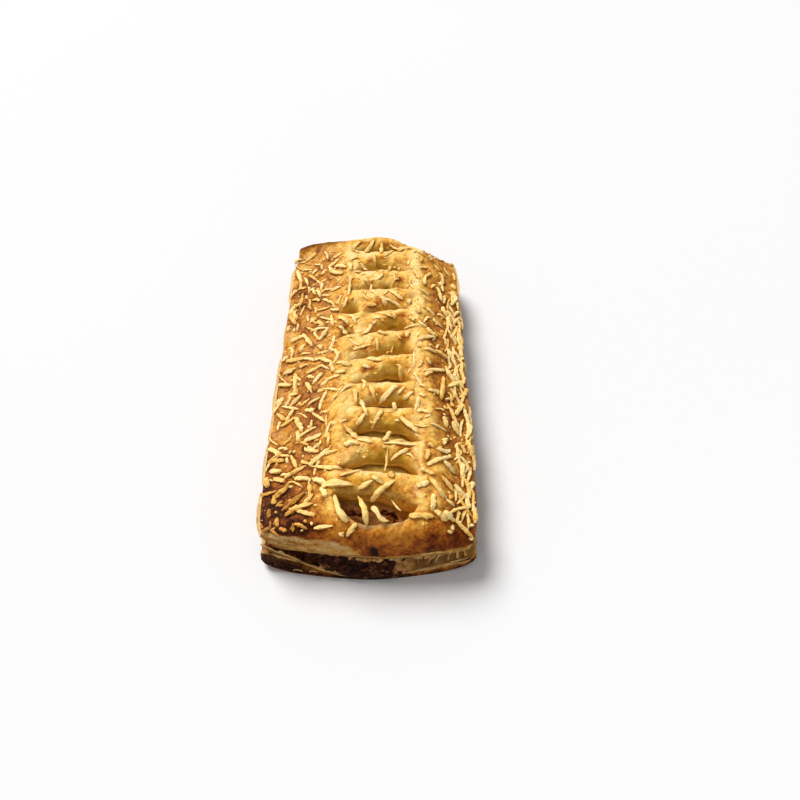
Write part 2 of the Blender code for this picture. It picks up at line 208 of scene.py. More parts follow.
@dataclass(frozen=True)
class Slit:
    """One opening in the top sheet."""

    along: float
    left: float
    right: float
    opening: float
    tilt: float = 0.0
    squareness: float = 1.9
    bluntness: float = 0.85
    fade: float = 0.003
    ragged: float = 0.30
    wander: float = 0.0006
    straight_lip: float = 0.85
    skew: float = 0.28

    def middle(self, x: Array) -> Array:
        """Its centre line, which arches so that its near lip runs nearly straight.

        Args:
            x: Places across.

        Returns:
            The place along at each of them.
        """
        across = np.clip(x, self.left, self.right) - (self.left + self.right) / 2
        wander = self.wander * grain(x, self.along, 0.0075, 41.0) * self.column(x)
        arch = self.straight_lip * self.opening / 2 * (self.share(x) - 1.0)
        return self.along + self.tilt * across + wander + arch

    def share(self, x: Array) -> Array:
        """How open it is.

        Args:
            x: Places across.

        Returns:
            About 1 in the middle, and 0 from its ends.
        """
        place = np.clip((2 * x - self.left - self.right) / (self.right - self.left), -1.0, 1.0)
        from_widest = np.minimum(1, np.abs(place - self.skew * (1 - place**2)))
        ragged = 1 + self.ragged * grain(x, self.along, 0.0036, 43.0)
        return ragged * (1 - from_widest**self.squareness) ** self.bluntness

    def column(self, x: Array) -> Array:
        """1 inside its span across, fading to 0 past its ends."""
        start = smooth(self.left - self.fade, self.left + self.fade, x)
        return start * smooth(self.right + self.fade, self.right - self.fade, x)


@dataclass(frozen=True)
class SlitRow:
    """One slit, or two side by side, along one line across the top."""

    slits: tuple[Slit, ...]

    def middle(self, x: Array) -> Array:
        """The centre line through all its slits.

        Args:
            x: Places across.

        Returns:
            The place along at each of them.
        """
        line = self.slits[0].middle(x)
        for before, after in zip(self.slits, self.slits[1:]):
            line = mix(line, after.middle(x), smooth(before.right, after.left, x))
        return line

    def half(self, x: Array) -> Array:
        """Half of its opening, 0 where it is shut."""
        return sum(slit.opening / 2 * slit.share(x) for slit in self.slits)

    def openness(self, x: Array) -> Array:
        """1 where it is wide open, 0 where it is shut."""
        return sum(slit.share(x) for slit in self.slits)

    def column(self, x: Array) -> Array:
        """1 across its slits, fading to 0 past their ends."""
        return np.maximum.reduce([slit.column(x) for slit in self.slits])


SLIT_ROWS = (
    SlitRow(
        (
            Slit(
                -0.0616, -0.0118, 0.0168, 0.0106, -0.13, 2.1, 0.62,
                ragged=0.08, straight_lip=-0.55, skew=-0.12,
            ),
        )
    ),
    SlitRow((Slit(-0.0454, -0.0086, 0.0174, 0.0060, -0.10, 2.4, 0.72, ragged=0.10, skew=0.10),)),
    SlitRow((Slit(-0.0316, -0.0084, 0.0182, 0.0062, -0.12, 2.1, 0.78, ragged=0.10, skew=0.10),)),
    SlitRow((Slit(-0.0192, -0.0056, 0.0168, 0.0042, -0.04),)),
    SlitRow((Slit(-0.0067, -0.0078, 0.0158, 0.0054, 0.04, skew=0.42),)),
    SlitRow((Slit(0.0056, -0.0082, 0.0168, 0.0042, 0.14, skew=0.36),)),
    SlitRow(
        (Slit(0.0160, -0.0140, -0.0068, 0.0022, 0.14), Slit(0.0189, -0.0038, 0.0150, 0.0040, 0.15))
    ),
    SlitRow(
        (
            Slit(0.0286, -0.0134, -0.0056, 0.0032, 0.06, 2.2, 0.6, straight_lip=0.0),
            Slit(0.0299, -0.0020, 0.0150, 0.0026, 0.12),
        )
    ),
    SlitRow((Slit(0.0427, -0.0126, 0.0150, 0.0026, 0.03),)),
    SlitRow((Slit(0.0547, -0.0078, 0.0140, 0.0035, skew=0.10),)),
    SlitRow((Slit(0.0672, -0.0085, 0.0114, 0.0026, -0.04),)),
)


@dataclass(frozen=True)
class Slab:
    """Driving sizes of the whole pastry, and the heights of its faces."""

    width: float = 0.0760
    length: float = 0.1374
    edge_pull: float = 0.012
    corner_cut: float = 0.0012
    side_wave: float = 0.0007
    seam_height: float = 0.0064
    edge_height: float = 0.0156
    crown_height: float = 0.0238
    gap: float = 0.0004
    roof_thickness: float = 0.0048
    ridge_height: float = 0.0007
    ridge_width: float = 0.0024
    ridge_at: float = 0.0215
    ridge_slant: float = -0.040
    torn_at: float = 0.0176
    torn_width: float = 0.0019
    blister: float = 0.0006
    pucker: float = 0.0008
    wrinkle: float = 0.00028
    floor_height: float = 0.0026
    corner_lift: float = 0.0034
    lean: float = 0.45
    shut_dip: float = 0.0012
    flank_depth: float = 0.0042
    flank_length: float = 0.0058
    least_thickness: float = 0.00035
    shut_length: float = 0.0024
    lip_dip: float = 0.0006
    lip_length: float = 0.0022
    end_depth: float = 0.020
    seam_span: Pair = (0.88, 0.97)
    corner_power: int = 12

    def across(self, x: Array) -> Array:
        """Place between the long edges, -1 to 1."""
        return x / (self.width / 2)

    def per_end(self, y: Array, read: Callable[[End], Array]) -> Array:
        """What read gives for the end nearer to each place along."""
        return np.where(y < 0.0, read(NEAR), read(FAR))

    def end_share(self, x: Array, y: Array, length: Array, top: bool) -> Array:
        """How close to an end a place is.

        Args:
            x: Places across.
            y: Places along.
            length: How far from the edge the share starts.
            top: Whether the top sheet's outline counts, or the bottom one's.

        Returns:
            0 away from an end, rising to 1 at its edge.
        """
        across = self.across(x)
        reach = self.per_end(y, lambda end: (end.top if top else end.base).reach(across))
        return np.clip((np.abs(y) - self.length / 2 - reach + length) / length, 0.0, 1.0)

    def plateau(self, x: Array, y: Array) -> Array:
        """Top face without slits and blisters: strips, raised middle, rolled ends.

        Args:
            x: Places across.
            y: Places along.

        Returns:
            The height at each place.
        """
        across = self.across(x)
        left = 0.55 * smooth(-1.0, -0.5, across) + 0.45 * smooth(-0.52, -0.26, across)
        rise = np.minimum(left, smooth(1.04, 0.50, across))
        height = mix(self.edge_height, self.crown_height, rise)
        share = self.end_share(x, y, self.per_end(y, lambda end: end.roll), True)
        roll = 1 - (1 - share**2.4) ** 0.55
        return mix(height, self.per_end(y, lambda end: three_way(end.lip, across)), roll)

    def ridge(self, x: Array, y: Array) -> Array:
        """1 along the pale ridge to the right of the slits, 0 away from it."""
        return hill(x - self.ridge_at - self.ridge_slant * y, self.ridge_width)

    def torn(self, x: Array, y: Array) -> Array:
        """1 along the crisp torn band at the slits' right ends, 0 away from it."""
        away = x - self.torn_at - 0.6 * MM * grain(y, 0.0, 0.006, 10.0)
        return hill(away, self.torn_width) * between((-64, -54), (66, 73), y)

    def crust(self, x: Array, y: Array) -> Array:
        """Top face of the baked sheet, without the dips beside the slits.

        Args:
            x: Places across.
            y: Places along.

        Returns:
            The height at each place.
        """
        inland = 1 - 0.45 * self.end_share(x, y, 10 * MM, True)
        blister = grain(x, y, 0.011) + 0.6 * grain(x, y, 0.005, 4.0)
        relief = self.ridge_height * self.ridge(x, y) + self.blister * blister
        middle = smooth(0.66, 0.40, np.abs(self.across(x) - 0.08))
        pucker = (0.35 + 0.65 * middle) * grain(x, 0.8 * y, 0.0041, 12.0)
        pucker += 0.8 * np.maximum(0, grain(x, y, 0.0025, 14.0) - 0.12)
        torn = self.torn(x, y) * (np.abs(grain(x, y, 0.0018, 18.0)) ** 0.8 - 0.3)
        relief += 0.5 * MM * torn
        wrinkle = grain(x, y, 0.0015, 16.0)
        relief = relief + self.pucker * pucker + self.wrinkle * (0.6 + 0.4 * middle) * wrinkle
        return self.plateau(x, y) + inland * relief - self.terrace(x, y)

    def cut_depth(self, x: Array, y: Array) -> Array:
        """How far inside the near end's cut a place is, in a ragged measure."""
        ragged = 0.55 * grain(x, y, 0.0042, 35.0) + 0.25 * grain(x, y, 0.0013, 36.0)
        return y - self.end_line(self.across(x), NEAR.top, -1.0) + MM * ragged

    def cut_share(self, x: Array) -> Array:
        """1 on the left, where the near end's cut shows, and 0 on the right."""
        return fade(1, -15, x)

    def terrace(self, x: Array, y: Array) -> Array:
        """Drop of the torn leaves along the near end's cut.

        Args:
            x: Places across.
            y: Places along.

        Returns:
            The drop at each place.
        """
        depth = self.cut_depth(x, y) / np.maximum(0.3, self.cut_share(x))
        steps = sum(fade(edge, edge - 0.3, depth) for edge in (1.7, 1.1, 0.6))
        return 0.42 * MM * steps * self.cut_share(x)

    def slit_dip(self, x: Array, y: Array) -> Array:
        """How far the strips between the slits fall towards them.

        The side of a strip that faces the near end rolls down into its slit, and its
        other side ends in a thin lip.

        Args:
            x: Places across.
            y: Places along.

        Returns:
            The drop at each place.
        """
        dip = np.zeros(np.broadcast(x, y).shape)
        for row in SLIT_ROWS:
            away = y - row.middle(x)
            beside = np.maximum(0, np.abs(away) - row.half(x))
            openness = np.minimum(1, row.openness(x))
            length = mix(self.shut_length, self.flank_length, openness)
            fallen = 1 - np.minimum(1, beside / length)
            flank = 1 - np.sqrt(1 - 0.98 * fallen**2.2)
            flank *= mix(self.shut_dip, self.flank_depth, openness) / (1 - math.sqrt(0.02))
            lip = hill(beside, self.lip_length) * mix(self.shut_dip, self.lip_dip, openness)
            dip = np.maximum(dip, row.column(x) * np.where(away >= 0.0, flank, lip))
        return dip

    def top(self, x: Array, y: Array) -> Array:
        """Top face of the baked sheet.

        Args:
            x: Places across.
            y: Places along.

        Returns:
            The height at each place.
        """
        dip = self.slit_dip(x, y)
        lowest = np.where(dip > 1 * MM, self.ceiling(x, y) + self.least_thickness, 0.0)
        return np.maximum(self.crust(x, y) - dip, lowest)

    def ceiling(self, x: Array, y: Array) -> Array:
        """Lower face of the top sheet.

        Args:
            x: Places across.
            y: Places along.

        Returns:
            The height at each place.
        """
        across = self.across(x)
        seam = self.seam_height + self.gap
        inner = self.crown_height - self.roof_thickness - 0.10 * np.abs(x)
        body = mix(inner, seam, smooth(0.58, 0.80, np.abs(across)))
        share = self.end_share(x, y, self.end_depth, True)
        under = self.per_end(y, lambda end: three_way(end.under, across))
        height = mix(body, under, smooth(0, 0.9, share))
        return mix(height, seam, smooth(*self.seam_span, np.abs(across)))

    def floor(self, x: Array, y: Array) -> Array:
        """Upper face of the bottom sheet.

        Args:
            x: Places across.
            y: Places along.

        Returns:
            The height at each place.
        """
        across = self.across(x)
        body = mix(self.floor_height, self.seam_height, smooth(0.54, 0.78, np.abs(across)))
        share = self.end_share(x, y, self.end_depth, False)
        rim = self.per_end(y, lambda end: three_way(end.rim, across))
        height = mix(body, rim, smooth(0, 0.9, share))
        return mix(height, self.seam_height, smooth(*self.seam_span, np.abs(across)))

    def underside(self, x: Array, y: Array) -> Array:
        """Lower face of the bottom sheet: flat, with the four corners curled up."""
        corner = smooth(0.62, 1.08, np.abs(self.across(x)))
        return self.corner_lift * corner * smooth(0.86, 1.04, np.abs(y) / (self.length / 2))

    def wave(self, y: Array, side: Array) -> Array:
        """How far a long side stands out of a straight line."""
        corner = smooth(0.85, 1.0, np.abs(y) * 2 / self.length)
        return self.side_wave * (grain(y, 0.0, 0.028, 2.0 * side) - 0.5 * corner)

    def side_shift(self, across: Array, y: Array, out: float) -> Array:
        """Shift across near the long sides, which wave.

        Args:
            across: Places between the long edges, -1 to 1.
            y: Places along.
            out: How far the side stands out besides.

        Returns:
            The shift at each place.
        """
        side = np.sign(across)
        return side * smooth(0.93, 1.0, np.abs(across)) * (self.wave(y, side) + out)

    def end_line(self, across: Array, outline: Outline, sign: float, inset: float = 0.0) -> Array:
        """Outline of an end seen from above.

        Args:
            across: Places between the long edges, -1 to 1.
            outline: The sheet's outline at that end.
            sign: -1 for the near end, 1 for the far one.
            inset: How far to draw it in.

        Returns:
            The place along at each of them.
        """
        corner = self.corner_cut * across**self.corner_power
        straight = self.length / 2 * (1 - self.edge_pull * across**self.corner_power)
        return sign * (straight + outline.reach(across) - inset - corner)

    def side_line(self, across: Array, y: Array) -> Array:
        """Lattice lines along the sheet, drawn in a little near the corners.

        Args:
            across: Places between the long edges, -1 to 1.
            y: Places along.

        Returns:
            The place across at each of them.
        """
        along = np.minimum(1, np.abs(y) / (self.length / 2))
        corner = self.corner_cut * (np.abs(across) * along) ** self.corner_power
        pull = 1 - self.edge_pull * along**self.corner_power
        return across * self.width / 2 * pull - np.sign(across) * corner


SLAB = Slab()


# Browning


@dataclass(frozen=True)
class Patch:
    """A stretch of crust baked darker or paler than the rest, in millimetres."""

    x: float
    y: float
    across: float
    along: float
    depth: float

    def at(self, x: Array, y: Array) -> Array:
        """How much it darkens each place."""
        middle, spread = (self.x * MM, self.y * MM), (self.across * MM, self.along * MM)
        return self.depth * bell(x, y, middle, spread)


@dataclass(frozen=True)
class Browning:
    """How dark the oven baked each place of the top."""

    plain: float = 0.27
    middle: float = 0.11
    strips: float = 0.165
    ridge: float = -0.26
    near_roll: float = 0.38
    far_roll: float = 0.10
    drift: float = 0.16
    speckle: float = 0.10
    patches: tuple[Patch, ...] = (
        Patch(-32, -57, 7, 8, 0.35), Patch(-34, -66, 9, 5, 0.27), Patch(-22, -66, 8, 4, 0.24),
        Patch(-24, -60, 4, 5, 0.14), Patch(-37, -48, 3, 13, 0.20), Patch(-27, -50, 7, 9, 0.10),
        Patch(-19, -35, 5, 12, 0.06), Patch(2, -54, 12, 3.5, 0.06), Patch(6, -57, 12, 3, 0.12),
        Patch(-8, -46.6, 2.6, 1.5, 0.5), Patch(-31, -38, 5, 5, 0.14), Patch(-30, -22, 5, 5, 0.12),
        Patch(-22, -20, 4, 6, 0.12), Patch(-27, -8, 5, 4, 0.10), Patch(-26, 23, 4, 4, 0.12),
        Patch(-33, 31, 4, 5, 0.14), Patch(-25, 40, 7, 4, 0.12), Patch(-34, 47, 5, 7, 0.17),
        Patch(-27, 54, 7, 6, 0.10), Patch(-33, 67, 6, 4, 0.08), Patch(-2, -42, 7, 3, 0.03),
        Patch(12, -42, 6, 3, 0.05), Patch(2, -3, 7, 2.5, 0.12), Patch(6, 13, 8, 3, 0.10),
        Patch(0, 32, 6, 4, 0.12), Patch(3, 57, 9, 4, 0.12), Patch(7, 69, 6, 3, 0.24),
        Patch(-12, 60, 3, 9, -0.10), Patch(25, 58, 5, 7, -0.06), Patch(1, -69.5, 9, 2.6, 0.02),
        Patch(0, 56, 14, 15, -0.12), Patch(-30, 62, 10, 12, -0.02), Patch(31, 47, 4, 9, 0.04),
        Patch(23, 44, 4, 6, -0.05), Patch(24, 12, 4, 9, 0.12), Patch(23, -11, 3.5, 4, 0.20),
        Patch(27, -1, 4, 5, 0.10), Patch(25, -22, 4, 6, 0.12), Patch(34, -30, 3, 14, 0.10),
        Patch(33, -60, 5, 7, 0.12), Patch(-31, 10, 9, 20, -0.05), Patch(30, -69, 9, 4, 0.12),
        Patch(-12, -45, 3, 22, -0.06), Patch(-9, 6, 3.5, 34, -0.10), Patch(18, -48, 3, 16, -0.05),
    )
    burns: tuple[Patch, ...] = (
        Patch(2.2, -73.0, 1.9, 1.1, 0.72), Patch(4.6, -72.2, 2.0, 0.8, 0.40),
        Patch(0.2, -72.0, 1.5, 0.7, 0.30), Patch(-31, -57, 3.5, 3.0, 0.19),
        Patch(-34, -64, 4, 2.5, 0.13), Patch(-26, -62, 5, 2.5, 0.12),
        Patch(-8, -46.8, 1.8, 0.9, 0.3),
    )

    def toast(self, x: Array, y: Array) -> Array:
        """How brown each place is.

        Args:
            x: Places across.
            y: Places along.

        Returns:
            0 for pale dough to 1 for black.
        """
        from_middle = np.abs(x - 2 * MM)
        strips = fade(10, 24, from_middle) * mix(1.0, 0.7, fade(30, 55, y))
        seam = np.maximum(SLAB.ridge(x, y), 0.8 * hill(x - 18 * MM, 2.4 * MM))
        seam *= 1 - 0.4 * fade(-24, -40, y)
        toast = self.plain + self.strips * strips + self.ridge * seam
        toast -= self.middle * fade(14, 6, from_middle) * fade(-65, -55, y)
        share = SLAB.end_share(x, y, 12 * MM, True) ** 2.8
        toast += share * np.where(y < 0.0, self.near_roll, self.far_roll)
        toast += self.drift * grain(x, y, 0.0085, 7.0)
        toast += self.speckle * strips * np.abs(grain(x, y, 0.0031, 8.0)) ** 0.5
        return toast + sum(patch.at(x, y) for patch in self.patches)

    def char(self, x: Array, y: Array) -> Array:
        """How burnt each place is, 0 to 1."""
        burnt = sum(patch.at(x, y) for patch in self.burns)
        return burnt * (1 + 0.8 * grain(x, y, 0.003, 9.0) + 0.9 * grain(x, y, 0.0011, 10.0))


BROWNING = Browning()


# Meshes


class Paint(Enum):
    """The finishes' masks, kept on the points of a mesh. Toast, char and ochre also carry painted
    shade.
    """

    # Browning, plus painted shade beside the shreds and on their lower sides.
    TOAST = "toast"
    CREAM = "cream"
    # Burnt black, plus painted shade right at the slits.
    CHAR = "char"
    # Ochre tint of underbaked dough, with painted shade inside the openings and under the lip.
    OCHRE = "ochre"
    RUSSET = "russet"
    LEAVES = "leaves"


Coat = dict[Paint, Array]


class Shell:
    """Points with their paint, and the faces between them, gathered into one mesh."""

    def __init__(self) -> None:
        """Starts empty."""
        self.blocks: list[Array] = []
        self.coats: dict[Paint, list[Array]] = {paint: [] for paint in Paint}
        self.faces: list[tuple[int, ...]] = []
        self.count = 0

    def add(self, points: Array, coat: Coat) -> Array:
        """Adds points.

        Args:
            points: Their places, with any shape before the last axis of three.
            coat: Paint for them. What it leaves out is 0.

        Returns:
            Their numbers, in the shape of points.
        """
        flat = points.reshape(-1, 3)
        for paint, blocks in self.coats.items():
            value = np.broadcast_to(coat.get(paint, 0.0), points.shape[:-1])
            blocks.append(np.clip(value, 0.0, 1.0).ravel())
        self.blocks.append(flat)
        numbers = np.arange(self.count, self.count + len(flat)).reshape(points.shape[:-1])
        self.count += len(flat)
        return numbers

    def add_face(
        self, spots: Sequence[Array], opened: Array, paint: Callable[[Array, bool], Coat]
    ) -> tuple[Array, Array]:
        """Adds the points of a slit face, twice where a slit is open.

        Args:
            spots: Their places as faces under each row use them, and as those over it do.
            opened: Which points are there twice.
            paint: Paint for places, and for whether they are the second ones.

        Returns:
            Their numbers as faces under each row use them, and as those over it do.
        """
        below = self.add(spots[0], paint(spots[0], False))
        above = below.copy()
        above[opened] = self.add(spots[1][opened], paint(spots[1][opened], True))
        return below, above

    def quads(self, lower: Array, upper: Array) -> None:
        """Adds the faces between two rows of points, or two stacks of rows."""
        corners = (lower[..., :-1], lower[..., 1:], upper[..., 1:], upper[..., :-1])
        self.faces += map(tuple, np.stack(corners, -1).reshape(-1, 4).tolist())

    def loops(self, first: Array, second: Array) -> None:
        """Adds the faces between two closed loops of points."""
        self.quads(np.append(first, first[0]), np.append(second, second[0]))

    def to_object(self, name: str, crease: float = 50.0) -> Object:
        """Makes the mesh, with its unused points dropped and its faces outward.

        Args:
            name: The piece's name.
            crease: Edges sharper than this angle in degrees shade as sharp.

        Returns:
            The new object, in the scene.
        """
        used = np.zeros(self.count, bool)
        used[np.concatenate([np.array(face) for face in self.faces])] = True
        number = np.cumsum(used) - 1
        faces = [tuple(number[list(face)].tolist()) for face in self.faces]
        data = bpy.data.meshes.new(name)
        data.from_pydata(np.concatenate(self.blocks)[used].tolist(), [], faces)
        for paint, blocks in self.coats.items():
            values = np.concatenate(blocks)[used].astype(np.float32)
            data.attributes.new(paint.value, "FLOAT", "POINT").data.foreach_set("value", values)
        mesh = bmesh.new()
        mesh.from_mesh(data)
        bmesh.ops.recalc_face_normals(mesh, faces=mesh.faces[:])
        mesh.to_mesh(data)
        mesh.free()
        data.shade_smooth()
        data.set_sharp_from_angle(angle=math.radians(crease))
        piece = bpy.data.objects.new(name, data)
        bpy.context.scene.collection.objects.link(piece)
        return piece


def ring(rows: int, columns: int) -> tuple[Array, Array]:
    """Rows and columns of a lattice's outer points, in order.

    Args:
        rows: How many rows of faces the lattice has.
        columns: How many columns of faces.

    Returns:
        Two arrays, round from the near left corner by way of the near right one.
    """
    across, along = np.arange(columns), np.arange(rows)
    row = np.concatenate((0 * across, along, 0 * across + rows, along[::-1] + 1))
    column = np.concatenate((across, 0 * along + columns, across[::-1] + 1, 0 * along))
    return row, column


def coarse_faces(shell: Shell, below: Array, above: Array, step: int) -> None:
    """Faces of a side that doesn't show, wide inside and fine along its edges.

    Args:
        shell: The mesh that they go into.
        below: Numbers of the points as faces under each row of points use them.
        above: The same for faces over it. The two differ where a slit is open.
        step: How many columns and rows one face spans.
    """
    rows, columns = below.shape[0] - 1, below.shape[1] - 1
    split = below != above
    for row in range(0, rows, step):
        for column in range(0, columns, step):
            last_row, last_column = row + step, column + step
            whole = slice(column, last_column + 1)
            fine_low = row == 0 or split[row, whole].any()
            fine_high = last_row == rows or split[last_row, whole].any()
            bottom = above[row, column : last_column + 1 : 1 if fine_low else step]
            top = below[last_row, column : last_column + 1 : 1 if fine_high else step]
            right = below[row + 1 : last_row, last_column] if last_column == columns else ()
            left = below[row + 1 : last_row, column] if column == 0 else ()
            corners = (*bottom, *right, *top[::-1], *tuple(left)[::-1])
            shell.faces.append(tuple(int(number) for number in corners))


def outward(points: Array) -> Array:
    """Level directions that point out of a closed loop.

    Args:
        points: The loop's points, anticlockwise.

    Returns:
        A direction for each.
    """
    along = np.roll(points, -1, 0)[:, :2] - np.roll(points, 1, 0)[:, :2]
    along = (along + np.roll(along, 1, 0) + np.roll(along, -1, 0)) / 3
    along /= np.maximum(np.linalg.norm(along, axis=1, keepdims=True), 1e-9)
    return np.stack((along[:, 1], -along[:, 0], 0 * along[:, 0]), -1)


def loop_length(points: Array) -> Array:
    """How far along a loop each of its points lies."""
    steps = np.linalg.norm(np.diff(points[:, :2], axis=0), axis=1)
    return np.concatenate(([0.0], np.cumsum(steps)))


@dataclass(frozen=True)
class Leaves:
    """Thin baked layers that show on a wall of puff pastry."""

    count: int = 7
    ragged: float = 0.00055
    groove: float = 0.00045
    wander: float = 0.45
    apart: float = 0.0171
    seed: float = 1.0

    def layers(self, along: Array, height: Array) -> tuple[Array, Array]:
        """Which layer shows.

        Args:
            along: Distance along the wall.
            height: Share up it.

        Returns:
            A place in the noise for each layer, and the place across it, -1 to 1.
        """
        wander = grain(along, 0 * height, 0.009, self.seed)
        wander += 0.5 * grain(along, 0 * height, 0.0035, self.seed + 2)
        level = height * self.count + self.wander * wander
        layer = np.floor(level)
        return layer * self.apart, 2.0 * (level - layer) - 1.0

    def relief(self, along: Array, height: Array) -> Array:
        """How far the wall stands out.

        Args:
            along: Distance along the wall.
            height: Share up it.

        Returns:
            The relief at each place, in metres.
        """
        layer, inside = self.layers(along, height)
        edge = 0.7 * grain(along, layer, 0.0038, self.seed + 4)
        edge += 0.45 * grain(along, layer, 0.0013, self.seed + 6)
        return self.ragged * edge - self.groove * inside**4

    def pale(self, along: Array, height: Array) -> Array:
        """How pale the wall is: the layers differ, and their grooves get painted shade.

        Args:
            along: Distance along the wall.
            height: Share up it.

        Returns:
            The paleness of each place, about 0 to 1.
        """
        layer, inside = self.layers(along, height)
        tone = 0.55 + 0.9 * grain(along, layer, 0.006, self.seed + 8)
        # Painted shade darkens the grooves between the layers.
        return tone * (1 - 0.75 * inside**4)


def add_wall(
    shell: Shell,
    top: tuple[Array, Array],
    bottom: tuple[Array, Array],
    layers: int,
    relief: Callable[[Array, Array], Array],
    paint: Callable[[Array, Array, Array], Coat],
) -> None:
    """A wall between a loop of the upper face and one of the lower face.

    Args:
        shell: The mesh that it goes into.
        top: Numbers and places of the upper loop.
        bottom: The same for the lower loop.
        layers: How many rows of faces the wall has.
        relief: Outward shift for a distance along the loop and a share up the wall.
        paint: Paint for places, distances along and shares up.
    """
    out = outward(top[1])
    along = loop_length(top[1])
    before = top[0]
    for layer in range(1, layers):
        height = np.full(len(along), 1 - layer / layers)
        points = mix(bottom[1], top[1], height[:, None])
        points += out * relief(along, height)[:, None]
        numbers = shell.add(points, paint(points, along, height))
        shell.loops(before, numbers)
        before = numbers
    shell.loops(before, bottom[0])


class Part:
    """One piece of the pastry: a mesh in one finish, which may stand for a solid."""

    solid: str = ""
    slot: str = ""

    def build(self) -> Object:
        """Makes the piece."""
        raise NotImplementedError

    def dress(self, finish: Material) -> Object:
        """Builds the piece, gives it its finish and ties it to the frame.

        Args:
            finish: Its material.

        Returns:
            The dressed piece.
        """
        piece = self.build()
        piece.data.materials.append(finish)
        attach(piece, "root")
        if self.solid:
            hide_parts(self.solid)
        return piece


# Top sheet


class ShadeBesideShreds:
    """Where shreds of cheese lie, for the painted contact shade that darkens the crust right beside
    them.
    """

    def __init__(self, points: Array, halves: Array) -> None:
        """Sorts the points along the shreds.

        Args:
            points: Places across and along, one row each.
            halves: Half of the shred's width at each.
        """
        self.halves = halves
        self.tree = KDTree(len(points))
        for index, (x, y) in enumerate(points):
            self.tree.insert((x, y, 0.0), index)
        self.tree.balance()

    def beside(self, x: Array, y: Array, width: float) -> Array:
        """How close each place is to the nearest shred.

        Args:
            x: Places across.
            y: Places along.
            width: How far the share reaches.

        Returns:
            1 at a shred, fading to 0 away from it.
        """
        found = [self.tree.find((a, b, 0.0)) for a, b in zip(x.ravel(), y.ravel())]
        away = np.array([distance - self.halves[index] for _, index, distance in found])
        return hill(np.maximum(0, away), width).reshape(x.shape)


